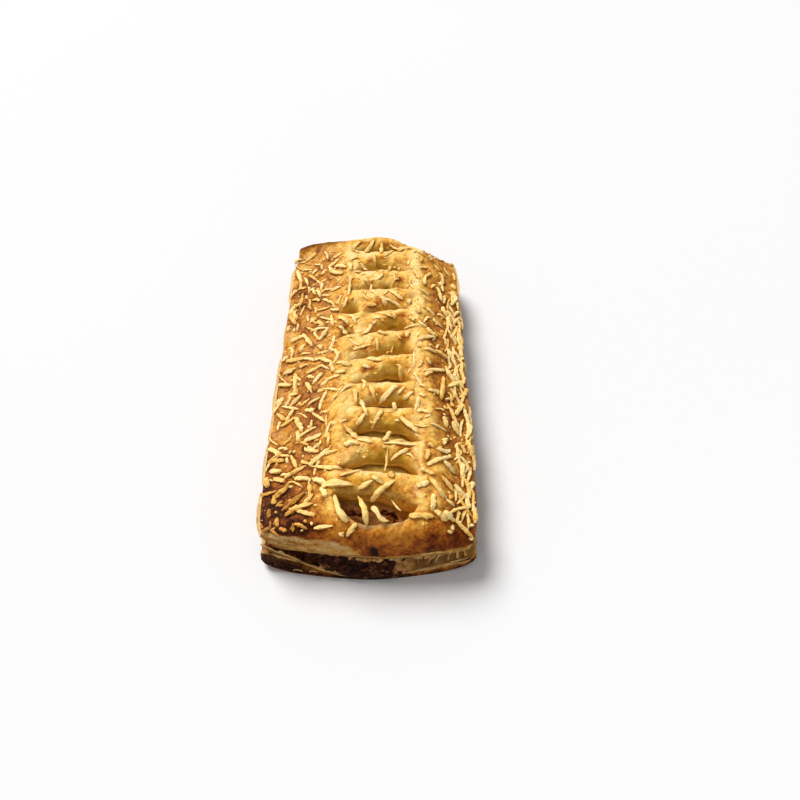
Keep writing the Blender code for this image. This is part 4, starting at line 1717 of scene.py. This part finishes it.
    def shade_marks(self) -> ShadeBesideShreds:
        """Where all the shreds lie, for the painted contact shade beside them.

        Returns:
            The points along them.
        """
        shreds = (*self.marked, *self.scatter(random.Random(self.seed)))
        lines = [self.centre_line(shred)[:, :2] for shred in shreds]
        halves = [np.full(self.rings, shred.width * MM / 2) for shred in shreds]
        return ShadeBesideShreds(np.concatenate(lines), np.concatenate(halves))

    def build(self) -> Object:
        """All the shreds as one piece.

        Returns:
            The piece.
        """
        draw = random.Random(self.seed)
        shell = Shell()
        for shred in (*self.marked, *self.scatter(draw)):
            self.add_shred(shell, shred, draw)
        return shell.to_object("grated_cheese", crease=38.0)


@dataclass
class Crumbs(Part):
    """Specks of cheese and crust that lie between the shreds."""

    seed: int = 57
    count: int = 430
    size: Pair = (0.26, 0.80)

    def build(self) -> Object:
        """All the crumbs as one piece.

        Returns:
            The piece.
        """
        draw = random.Random(self.seed)
        ball = bmesh.new()
        bmesh.ops.create_icosphere(ball, subdivisions=2, radius=1.0)
        corners = np.array([point.co for point in ball.verts])
        faces = [tuple(point.index for point in face.verts) for face in ball.faces]
        ball.free()
        cheese = GratedCheese()
        shell = Shell()
        found = 0
        while found < self.count:
            x, y = draw.uniform(-36.5, 36.5), draw.uniform(-69.5, 71.0)
            crowd = 1.0 if x < -13.0 or x > 27.0 else 0.45
            if draw.random() > crowd or not cheese.clear_of_slits(x, y):
                continue
            found += 1
            radius = draw.uniform(*self.size) * MM
            turn = Matrix.Rotation(draw.uniform(0.0, math.tau), 3, "Z")
            scale = np.array([draw.uniform(0.8, 1.9), draw.uniform(0.6, 1.0), draw.uniform(0.5, 0.8)])
            rough = grain(corners[:, 0] + 5.0 * found, corners[:, 1] + corners[:, 2], 1.1)
            rough = 1 + 0.35 * rough
            points = corners * rough[:, None] * scale * radius @ np.array(turn).T
            height = SLAB.top(np.array([x * MM]), np.array([y * MM]))[0]
            points += np.array([x * MM, y * MM, height + 0.15 * radius])
            toast = draw.uniform(0.0, 0.5) + 0.3 * (x < -22 and y < -52)
            numbers = shell.add(points, {Paint.TOAST: toast})
            shell.faces += [tuple(int(numbers[index]) for index in face) for face in faces]
        return shell.to_object("cheese_crumbs", crease=70.0)


# Flakes


def rows(*values: float) -> Array:
    """One value for each row of a leaf, from its root out."""
    return np.array(values)[:, None]


OUT = rows(0.0, 0.5, 1.0)


@dataclass
class Flakes(Part):
    """Thin curled leaves of pastry that stand out of the walls, and webs in the pocket."""

    count: int = 190
    segments: int = 9
    thickness: float = 0.00016
    web_count: int = 7
    torn_count: int = 40
    hung_count: int = 20
    pocket: Pair = (0.0130, 0.0350)
    curls: tuple[Pair, ...] = (
        (-32.5, 2.4), (-30.6, 3.0), (-24.5, 1.4), (-36.0, 3.6), (-19.0, 1.8)
    )
    draw: random.Random = field(default_factory=lambda: random.Random(73))
    shell: Shell = field(default_factory=Shell)

    @property
    def share(self) -> Array:
        """Places along a leaf, -1 to 1."""
        return np.linspace(-1.0, 1.0, self.segments + 1)

    def stretch(self, middle: float, length: float, most: float) -> Array:
        """Places along a leaf of some length, kept within the pastry."""
        return np.clip(middle + self.share / 2 * length, -most, most)

    def add_leaf(self, place: tuple[Array, Array, Array], thickness: Array, coat: Coat) -> None:
        """Adds a thin closed sheet.

        Args:
            place: Places across, along and up, which spread to one grid of points.
            thickness: Thickness at each point, spread in the same way.
            coat: Its paint.
        """
        grid = np.stack(np.broadcast_arrays(*place), -1)
        normal = np.cross(np.gradient(grid, axis=1), np.gradient(grid, axis=0))
        normal /= np.maximum(np.linalg.norm(normal, axis=-1, keepdims=True), 1e-12)
        offset = normal * np.broadcast_to(thickness, grid.shape[:2])[..., None] / 2
        front, back = (self.shell.add(points, coat) for points in (grid + offset, grid - offset))
        self.shell.quads(front[:-1], front[1:])
        self.shell.quads(back[1:], back[:-1])
        edge = ring(grid.shape[0] - 1, grid.shape[1] - 1)
        self.shell.loops(front[edge], back[edge])

    def side_leaf(self, side: float) -> None:
        """One ragged leaf along a long wall.

        Args:
            side: -1 for the left wall, 1 for the right one.
        """
        draw = self.draw
        length = draw.uniform(4, 16) * MM
        y = self.stretch(draw.uniform(-66, 66) * MM, length, 67.5 * MM)
        bare = float(bell(0.0, y.mean(), (0.0, -8 * MM), (1.0, 13 * MM)))
        rim = draw.random() < (0.16 + 0.75 * bare if side < 0.0 else 0.12)
        level = draw.choice((draw.uniform(3.5, 6.2), draw.uniform(7.0, 14.8)))
        level = (draw.uniform(14.6, 15.9) if rim else level) * MM
        stand = draw.uniform(0.2, 0.85 if rim else 0.75) * MM
        ragged = 0.55 + 0.8 * np.abs(grain(y, level, 0.0017, draw.uniform(0, 9)))
        reach = stand * ragged * (1 - self.share**4)
        tilt = draw.uniform(-0.4, 0.5)
        wall = SLAB.side_line(side, y) + side * (SLAB.wave(y, side) - 0.9 * MM)
        x = wall + side * (0.8 * MM + reach) * OUT
        height = level + 0.5 * MM * grain(y, level, 0.007, 2.0) + tilt * reach * OUT**2
        tone = draw.uniform(0.8, 1.0) if rim else draw.uniform(0.35, 0.95)
        coat = {Paint.CREAM: tone, Paint.TOAST: draw.uniform(0.30, 0.50) + 0.2 * rows(0.0, 0.3, 1.0)}
        self.add_leaf((x, y, height), rows(1.0, 0.8, 0.35) * self.thickness, coat)

    def rim_leaf(self, end: End, sign: float) -> None:
        """One leaf along the edge of a sheet at an end.

        Args:
            end: The end.
            sign: -1 for the near end, 1 for the far one.
        """
        draw = self.draw
        length = draw.uniform(5, 13) * MM
        x = self.stretch(draw.uniform(-33, 33) * MM, length, 37 * MM)
        across = SLAB.across(x)
        top = draw.random() < 0.6
        line = SLAB.end_line(across, end.top if top else end.base, sign)
        if top:
            under, lip = three_way(end.under, across), three_way(end.lip, across)
            height = mix(under, lip, draw.uniform(0.0, 0.75))
        else:
            height = three_way(end.rim, across) * draw.uniform(0.75, 1.02)
            line -= sign * SLAB.lean * height
        stand = draw.uniform(0.1, 0.55) * MM
        reach = stand * (0.5 + np.abs(grain(x, height, 0.0016, 6.0))) * (1 - self.share**4)
        tilt = draw.uniform(-0.5, 0.6)
        place = (x, line + sign * ((0.7 * MM + reach) * OUT - 0.8 * MM), height + tilt * reach * OUT**2)
        dark = 0.5 * float(not top and sign < 0)
        coat = {Paint.CREAM: draw.uniform(0.4, 0.95) - 0.3 * dark, Paint.TOAST: 0.45 + 0.3 * dark}
        self.add_leaf(place, rows(1.0, 0.8, 0.4) * self.thickness * 1.3, coat)

    def web(self, place: float) -> None:
        """One thin upright web between the lips of the open pocket.

        Args:
            place: Its place across.
        """
        draw = self.draw
        up = np.linspace(0.0, 1.0, 11)[:, None]
        deep = np.linspace(0.0, 1.0, 4)
        sway = draw.uniform(-3.4, 3.4) * MM
        wavy = 0.35 * MM * grain(up * 6 * MM, deep * 4 * MM, 0.002, place / MM)
        x = place + sway * (up - 0.5) + wavy
        across = SLAB.across(x)
        foot = SLAB.end_line(across, NEAR.base, -1.0) + draw.uniform(1.0, 3.2) * MM
        head = SLAB.end_line(across, NEAR.top, -1.0) + draw.uniform(0.1, 0.9) * MM
        y = mix(foot, head, up) + deep * draw.uniform(1.0, 2.6) * MM
        y += 0.8 * MM * np.sin(np.pi * up) * draw.uniform(0.0, 1.0)
        low, high = SLAB.floor(x, y) - 1.8 * MM, SLAB.ceiling(x, y) + 0.5 * MM
        stout, waist = draw.uniform(0.5, 2.6), draw.uniform(0.10, 0.7)
        shape = np.abs(2 * up - draw.uniform(0.8, 1.3)) ** draw.uniform(1.6, 3.0)
        thickness = (waist + stout * np.minimum(1, shape)) * MM
        thickness = thickness * (1 + 0.8 * grain(x, 3.0 * up * MM, 0.0010, 71.0))
        coat = {Paint.CREAM: draw.uniform(0.3, 0.9), Paint.TOAST: 0.42}
        self.add_leaf((x, y, mix(low, high, up)), thickness, coat)

    def curl(self, x: float, height: float) -> None:
        """One thin pale curl that stands out of the near wall.

        Args:
            x: Its place across, in millimetres.
            height: Its height, in millimetres.
        """
        turn = np.linspace(0.3, self.draw.uniform(2.6, 4.4), 14)[:, None]
        wide = np.linspace(-0.5, 0.5, 3)
        radius = self.draw.uniform(0.7, 1.5) * MM
        across = x * MM + 1.4 * radius * np.cos(turn)
        line = SLAB.end_line(SLAB.across(across), NEAR.base, -1.0) + SLAB.lean * height * MM
        y = line - 0.2 * MM + 0.34 * MM * wide
        high = height * MM + radius * np.sin(turn) + 0.12 * MM * wide
        coat = {Paint.CREAM: 0.6, Paint.TOAST: 0.5}
        self.add_leaf((across, y, np.maximum(0.3 * MM, high)), 0.10 * MM, coat)

    def torn_rim(self) -> None:
        """One pale torn leaf that stands up from the bottom sheet's near rim."""
        draw = self.draw
        left = draw.random() < 0.72
        middle = draw.uniform(-36.5, -11.0) if left else draw.uniform(13.0, 35.0)
        length = draw.uniform(2.5, 7.5)
        x = self.stretch(middle * MM, length * MM, 37 * MM)
        across = SLAB.across(x)
        high = three_way(NEAR.rim, across)
        line = SLAB.end_line(across, NEAR.base, -1.0) + SLAB.lean * high
        stand = draw.uniform(0.5, 1.9 if left else 1.2) * MM * (1 - self.share**4)
        stand *= 0.6 + 1.2 * np.abs(grain(x, length, 0.0014, 75.0))
        y = line + 0.2 * MM - stand * draw.uniform(-0.3, 0.7) * OUT**2
        height = high - 0.7 * MM + (0.6 * MM + stand) * OUT
        coat = {Paint.CREAM: draw.uniform(0.5, 1.0), Paint.TOAST: draw.uniform(0.35, 0.6)}
        self.add_leaf((x, y, height), rows(1.0, 0.8, 0.5) * self.thickness * 2.2, coat)

    def hung(self) -> None:
        """One pale shred of dough that hangs from the near lip over the filling."""
        draw = self.draw
        length = draw.uniform(0.8, 3.2)
        x = self.stretch(draw.triangular(-14.0, 34.0, 14.0) * MM, length * MM, 37 * MM)
        across = SLAB.across(x)
        drop = draw.uniform(0.6, 2.6) * MM * (1 - np.abs(self.share) ** draw.uniform(1.0, 3.0))
        drop *= 0.7 + 0.9 * np.abs(grain(x, length, 0.0009, 79.0))
        sway = draw.uniform(-0.8, 0.8) * MM
        line = SLAB.end_line(across, NEAR.top, -1.0)
        y = line - (0.1 + 0.5 * OUT) * MM + 0.2 * MM * grain(x, OUT * MM, 0.0012, 81.0)
        height = three_way(NEAR.under, across) + 0.5 * MM - drop * OUT
        coat = {Paint.CREAM: draw.uniform(0.1, 0.6), Paint.TOAST: draw.uniform(0.45, 0.75)}
        self.add_leaf((x + sway * OUT**2, y, height), rows(1.0, 0.9, 0.6) * self.thickness * 1.6, coat)

    def build(self) -> Object:
        """All the flakes and webs as one piece.

        Returns:
            The piece.
        """
        for index in range(self.count):
            self.side_leaf(-1.0 if index % 2 else 1.0)
        for index in range(self.count // 3):
            near = index % 3 > 0
            self.rim_leaf(NEAR if near else FAR, -1.0 if near else 1.0)
        for index in range(self.web_count):
            share = (index + self.draw.uniform(0.2, 0.8)) / self.web_count
            self.web(mix(*self.pocket, share))
        for x, height in self.curls:
            self.curl(x, height)
        for _ in range(self.torn_count):
            self.torn_rim()
        for _ in range(self.hung_count):
            self.hung()
        return self.shell.to_object("pastry_flakes", crease=70.0)


# Shader maths


class Wire:
    """One socket of a node, which plain Python operators join to others."""

    def __init__(self, socket: bpy.types.NodeSocket, graph: "Graph") -> None:
        """Wraps a socket of a graph."""
        self.socket, self.graph = socket, graph

    def maths(self, operation: str, first: "Value", second: "Value") -> "Wire":
        """A Math node on two values."""
        return self.graph.node("Math", {"operation": operation}, {0: first, 1: second})

    def __add__(self, other: "Value") -> "Wire":
        """Sum."""
        return self.maths("ADD", self, other)

    __radd__ = __add__

    def __mul__(self, other: "Value") -> "Wire":
        """Product."""
        return self.maths("MULTIPLY", self, other)

    __rmul__ = __mul__

    def __sub__(self, other: "Value") -> "Wire":
        """Difference."""
        return self.maths("SUBTRACT", self, other)

    def __rsub__(self, other: "Value") -> "Wire":
        """Difference from a plain number."""
        return self.maths("SUBTRACT", other, self)

    def __pow__(self, other: "Value") -> "Wire":
        """Power."""
        return self.maths("POWER", self, other)

    def __abs__(self) -> "Wire":
        """Absolute value."""
        return self.maths("ABSOLUTE", self, 0.0)

    def step(self, low: float, high: float) -> "Wire":
        """A smooth step from 0 at low to 1 at high."""
        settings = {"interpolation_type": "SMOOTHSTEP"}
        return self.graph.node("MapRange", settings, {0: self, 1: low, 2: high})


Value = Wire | float


class Graph:
    """The nodes of one material."""

    def __init__(self, name: str) -> None:
        """Starts a material with a plain shader.

        Args:
            name: The material's name.
        """
        self.material = bpy.data.materials.new(name)
        self.material.use_nodes = True
        self.tree = self.material.node_tree
        self.shader = self.tree.nodes["Principled BSDF"]

    def node(
        self,
        kind: str,
        settings: dict[str, object],
        inputs: dict[int | str, object],
        output: int | str = 0,
    ) -> Wire:
        """Adds a node.

        Args:
            kind: Its type, without its first word.
            settings: Its properties, set before anything is joined to it.
            inputs: Values or wires by socket.
            output: The socket that is handed back.

        Returns:
            That socket.
        """
        node = self.tree.nodes.new("ShaderNode" + kind)
        for key, value in settings.items():
            if key == "stops":
                self.set_stops(node.color_ramp, value)
            else:
                setattr(node, key, value)
        for key, value in inputs.items():
            self.join(node.inputs[key], value)
        return Wire(node.outputs[output], self)

    def join(self, socket: bpy.types.NodeSocket, value: object) -> None:
        """Sets a socket, or links a wire to it.

        Args:
            socket: The socket.
            value: The value or wire.
        """
        if isinstance(value, Wire):
            self.tree.links.new(value.socket, socket)
        else:
            socket.default_value = value

    def set_stops(self, ramp: bpy.types.ColorRamp, stops: Sequence[tuple[float, Colour]]) -> None:
        """Gives a colour ramp its stops.

        Args:
            ramp: The ramp.
            stops: Places from 0 to 1 and their colours.
        """
        while len(ramp.elements) < len(stops):
            ramp.elements.new(1.0)
        for element, (place, colour) in zip(ramp.elements, stops):
            element.position, element.color = place, (*colour, 1.0)

    def paint(self, paint: Paint) -> Wire:
        """A mask painted on the points."""
        return self.node("Attribute", {"attribute_name": paint.value}, {}, "Fac")

    def place(self, stretch: Triple = (1.0, 1.0, 1.0)) -> Wire:
        """Places in the pastry's own frame, stretched."""
        spot = self.node("TexCoord", {}, {}, "Object")
        return self.node("VectorMath", {"operation": "MULTIPLY"}, {0: spot, 1: stretch})

    def noise(
        self, size: float, detail: float = 3.0, place: Wire | None = None, warp: float = 0.0
    ) -> Wire:
        """Cloudy noise from 0 to 1.

        Args:
            size: Size of its bumps, in metres.
            detail: How many finer layers it has.
            place: Where it is read, or None for the pastry's own frame.
            warp: How far it swirls.

        Returns:
            The noise.
        """
        inputs = {"Vector": place or self.place(), "Scale": 1.0 / size}
        inputs |= {"Detail": detail, "Distortion": warp}
        return self.node("TexNoise", {}, inputs, "Fac")

    def cells(self, size: float, place: Wire | None = None) -> Wire:
        """Distance to the nearest of many scattered points, in cells."""
        inputs = {"Vector": place or self.place(), "Scale": 1.0 / size}
        return self.node("TexVoronoi", {}, inputs, "Distance")

    def ramp(self, value: Wire, stops: Sequence[tuple[float, Colour]]) -> Wire:
        """A colour for each value."""
        return self.node("ValToRGB", {"stops": stops}, {"Fac": value}, "Color")

    def blend(self, first: Wire | Colour, second: Wire | Colour, share: Value) -> Wire:
        """A mix of two colours.

        Args:
            first: The colour at share 0.
            second: The colour at share 1.
            share: How much of the second shows.

        Returns:
            The mixed colour.
        """
        pair = [colour if isinstance(colour, Wire) else (*colour, 1.0) for colour in (first, second)]
        settings = {"data_type": "RGBA", "clamp_factor": True}
        return self.node("Mix", settings, {0: share, 6: pair[0], 7: pair[1]}, 2)

    def bump(self, height: Wire, depth: float, strength: float) -> Wire:
        """Relief too fine for the mesh, with its depth in metres."""
        inputs = {"Height": height, "Distance": depth, "Strength": strength}
        return self.node("Bump", {}, inputs, "Normal")

    def dress(self, **sockets: object) -> Material:
        """Joins values to the shader's sockets.

        Args:
            sockets: Values or wires by the socket's name, with _ for a space.

        Returns:
            The finished material.
        """
        for key, value in sockets.items():
            self.join(self.shader.inputs[key.replace("_", " ").title().replace("Ior", "IOR")], value)
        return self.material


# Finishes


@dataclass(frozen=True)
class CrustFinish:
    """Glazed puff pastry, from pale dough to black."""

    stops: tuple[tuple[float, Colour], ...] = (
        (0.00, (0.92, 0.68, 0.30)),
        (0.14, (0.88, 0.565, 0.145)),
        (0.28, (0.80, 0.435, 0.078)),
        (0.42, (0.64, 0.288, 0.042)),
        (0.56, (0.45, 0.165, 0.023)),
        (0.72, (0.26, 0.072, 0.012)),
        (0.87, (0.125, 0.033, 0.009)),
        (1.00, (0.042, 0.012, 0.006)),
    )
    russet: Colour = (1.0, 0.78, 0.55)
    cream: Colour = (0.88, 0.66, 0.30)
    leaf_shade: Colour = (0.38, 0.20, 0.060)
    # Ochre tint: underbaked dough's colour, darkened as painted shade in the slits and under the lip.
    ochre: Colour = (0.67, 0.385, 0.034)
    black: Colour = (0.020, 0.007, 0.004)

    def material(self, name: str) -> Material:
        """The finish as a material.

        Args:
            name: Its name.

        Returns:
            The material.
        """
        graph = Graph(name)
        cloud = graph.noise(0.0045, 3.0, warp=0.4)
        patch = graph.noise(0.0026, 4.0, warp=0.9).step(0.42, 0.64)
        mottle = graph.noise(0.0011, 5.0)
        fine = graph.noise(0.00045, 3.0)
        crackle = graph.noise(0.0019, 5.0, warp=1.3)
        crackle = 1.0 - abs(crackle - 0.5).step(0.0, 0.055)
        speck = 1.0 - graph.cells(0.0021).step(0.10, 0.30)
        freckle = speck * graph.noise(0.006, 1.0).step(0.50, 0.68)
        leaves = graph.paint(Paint.LEAVES)
        streak = graph.noise(0.0030, 3.0, graph.place((1.0, 1.0, 9.0)))
        toast = graph.paint(Paint.TOAST)
        toast = toast + (cloud - 0.5) * 0.50 + (mottle - 0.5) * 0.34 + freckle * 0.18
        toast = toast + (patch - 0.35) * 0.14 + (crackle - 0.2) * 0.11 + (fine - 0.5) * 0.12
        toast = toast + leaves * (streak - 0.5) * 0.5
        reds = [(at, tuple(np.multiply(shade, self.russet))) for at, shade in self.stops]
        plain, reddened = graph.ramp(toast, self.stops), graph.ramp(toast, reds)
        colour = graph.blend(plain, reddened, graph.paint(Paint.RUSSET))
        # Blends in the ochre tint, which is dough colour with painted shade.
        ochre = graph.paint(Paint.OCHRE) * (0.85 + (cloud - 0.5) * 0.6)
        colour = graph.blend(colour, self.ochre, ochre)
        flour = (streak + mottle - 0.5).step(0.10, 0.62) + (1.0 - leaves) * 0.7
        dough = graph.blend(self.leaf_shade, self.cream, flour)
        cream = graph.paint(Paint.CREAM) * (0.66 + (mottle - 0.5) * 1.1)
        colour = graph.blend(colour, dough, cream)
        # The char mask also carries painted shade at the slits; both blend towards black.
        burnt = graph.paint(Paint.CHAR) + (mottle - 0.5) * 0.5 * graph.paint(Paint.CHAR)
        colour = graph.blend(colour, self.black, burnt.step(0.12, 0.85))
        relief = cloud * 0.9 + mottle * 0.5 + fine * 0.16 - crackle * 0.16 + leaves * streak * 1.2
        return graph.dress(
            base_color=colour,
            roughness=0.50 + graph.paint(Paint.CREAM) * 0.22 + (mottle - 0.5) * 0.25,
            specular_ior_level=0.035,
            coat_weight=(1.0 - leaves) * (1.0 - graph.paint(Paint.TOAST).step(0.35, 0.75)) * 0.06,
            coat_roughness=0.16,
            normal=graph.bump(relief, 0.0007, 0.55),
        )


@dataclass(frozen=True)
class FillingFinish:
    """Melted cheese filling, ochre and pale, nearly black where it is burnt."""

    stops: tuple[tuple[float, Colour], ...] = (
        (0.00, (0.62, 0.42, 0.11)),
        (0.25, (0.46, 0.26, 0.040)),
        (0.50, (0.33, 0.15, 0.018)),
        (0.75, (0.20, 0.075, 0.016)),
        (1.00, (0.09, 0.030, 0.010)),
    )
    pale: Colour = (0.66, 0.46, 0.15)
    burnt: tuple[tuple[float, Colour], ...] = (
        (0.21, (0.012, 0.004, 0.003)),
        (0.35, (0.075, 0.020, 0.009)),
        (0.46, (0.42, 0.175, 0.054)),
        (0.62, (0.62, 0.34, 0.12)),
    )

    def material(self, name: str) -> Material:
        """The finish as a material.

        Args:
            name: Its name.

        Returns:
            The material.
        """
        graph = Graph(name)
        drawn = graph.place((0.5, 1.0, 1.0))
        cloud = graph.noise(0.0030, 4.0, drawn, warp=0.8)
        mottle = graph.noise(0.0010, 3.0, drawn)
        pits = graph.cells(0.0012)
        toast = graph.paint(Paint.TOAST) + (cloud - 0.5) * 0.5
        colour = graph.ramp(toast, self.stops)
        colour = graph.blend(colour, self.pale, graph.paint(Paint.CREAM) * mottle.step(0.35, 0.65))
        char = graph.paint(Paint.CHAR)
        scorched = graph.ramp(cloud * 0.5 + mottle * 0.5 - char.step(0.55, 0.95) * 0.20, self.burnt)
        colour = graph.blend(colour, scorched, char.step(0.10, 0.50))
        return graph.dress(
            base_color=colour,
            roughness=0.50 + (mottle - 0.5) * 0.3,
            specular_ior_level=0.05,
            normal=graph.bump(cloud + mottle * 0.5 + pits * 0.3, 0.0006, 0.6),
        )


@dataclass(frozen=True)
class CheeseFinish:
    """Grated cheese, cream to toasted gold."""

    stops: tuple[tuple[float, Colour], ...] = (
        (0.00, (0.96, 0.73, 0.31)),
        (0.22, (0.93, 0.62, 0.190)),
        (0.42, (0.84, 0.45, 0.080)),
        (0.65, (0.56, 0.24, 0.030)),
        (0.90, (0.31, 0.11, 0.018)),
    )

    def material(self, name: str) -> Material:
        """The finish as a material.

        Args:
            name: Its name.

        Returns:
            The material.
        """
        graph = Graph(name)
        cloud = graph.noise(0.0016, 3.0)
        fine = graph.noise(0.0005, 3.0)
        toast = graph.paint(Paint.TOAST) + (cloud - 0.5) * 0.6 + (fine - 0.5) * 0.35
        return graph.dress(
            base_color=graph.ramp(toast, self.stops),
            roughness=0.52 + (fine - 0.5) * 0.25,
            specular_ior_level=0.2,
            coat_weight=0.03,
            coat_roughness=0.35,
            normal=graph.bump(cloud * 0.8 + fine * 0.7, 0.0005, 0.75),
        )


# Stage


@dataclass(frozen=True)
class Studio:
    """White floor, one soft high light from behind on the left, and the camera."""

    floor_size: float = 6.0
    floor_shade: float = 0.765
    sky: float = 0.38
    sun: float = 3.75
    sun_width: float = 28.0
    sun_from: Triple = (-0.54, 0.76, 1.0)
    camera_at: Triple = (0.01015, -0.14627, 0.20145)
    camera_turn: tuple[Triple, ...] = (
        (0.9999859, 0.0032791, -0.0041769),
        (-0.0051028, 0.8110689, -0.5849283),
        (0.0014697, 0.5849414, 0.8110742),
    )
    lens: float = 26.48

    def build_floor(self) -> None:
        """A wide plain floor."""
        mesh = bmesh.new()
        bmesh.ops.create_grid(mesh, x_segments=1, y_segments=1, size=self.floor_size / 2)
        data = bpy.data.meshes.new("floor")
        mesh.to_mesh(data)
        mesh.free()
        floor = bpy.data.objects.new("floor", data)
        bpy.context.scene.collection.objects.link(floor)
        graph = Graph("floor_white")
        shade = graph.noise(0.4, 1.0) * 0.02 + self.floor_shade
        colour = graph.node("CombineColor", {}, {0: shade, 1: shade, 2: shade}, "Color")
        data.materials.append(graph.dress(base_color=colour, roughness=0.9))

    def build_light(self) -> None:
        """An even white sky and one wide soft sun."""
        scene = bpy.context.scene
        scene.world = bpy.data.worlds.new("studio")
        scene.world.use_nodes = True
        sky = scene.world.node_tree.nodes["Background"]
        sky.inputs["Color"].default_value = (1.0, 1.0, 1.0, 1.0)
        sky.inputs["Strength"].default_value = self.sky
        data = bpy.data.lights.new("key", "SUN")
        data.energy, data.angle = self.sun, math.radians(self.sun_width)
        key = bpy.data.objects.new("key", data)
        key.rotation_mode = "QUATERNION"
        key.rotation_quaternion = Vector(self.sun_from).to_track_quat("Z", "Y")
        scene.collection.objects.link(key)
        scene.view_settings.view_transform = "Standard"

    def build_camera(self) -> None:
        """The camera at the photograph's angle."""
        data = bpy.data.cameras.new("camera")
        data.lens, data.clip_start = self.lens, 0.005
        camera = bpy.data.objects.new("camera", data)
        camera.matrix_world = Matrix.LocRotScale(Vector(self.camera_at), Matrix(self.camera_turn), None)
        bpy.context.scene.collection.objects.link(camera)
        bpy.context.scene.camera = camera


def report(piece: Object) -> None:
    """Logs a piece's size and how many triangles it has.

    Args:
        piece: The piece.
    """
    triangles = sum(len(face.vertices) - 2 for face in piece.data.polygons)
    size = ", ".join(f"{side / MM:.1f}" for side in piece.dimensions)
    LOG.info("%s: %d triangles, %s mm", piece.name, triangles, size)


def main() -> None:
    """Builds and dresses every piece in order, and then the stage."""
    logging.basicConfig(level=logging.INFO, format="%(name)s %(message)s")
    crust = CrustFinish().material("golden_crust_finish")
    cheese = CheeseFinish().material("grated_cheese_finish")
    filling = FillingFinish().material("cheese_filling_finish")
    shreds = GratedCheese()
    report(TopCrust(shreds.shade_marks()).dress(crust))
    report(BottomCrust().dress(crust))
    report(Filling().dress(filling))
    report(shreds.dress(cheese))
    report(Crumbs().dress(cheese))
    report(Flakes().dress(crust))
    studio = Studio()
    studio.build_floor()
    studio.build_light()
    studio.build_camera()
    bpy.context.view_layer.update()


if __name__ == "__main__":
    main()
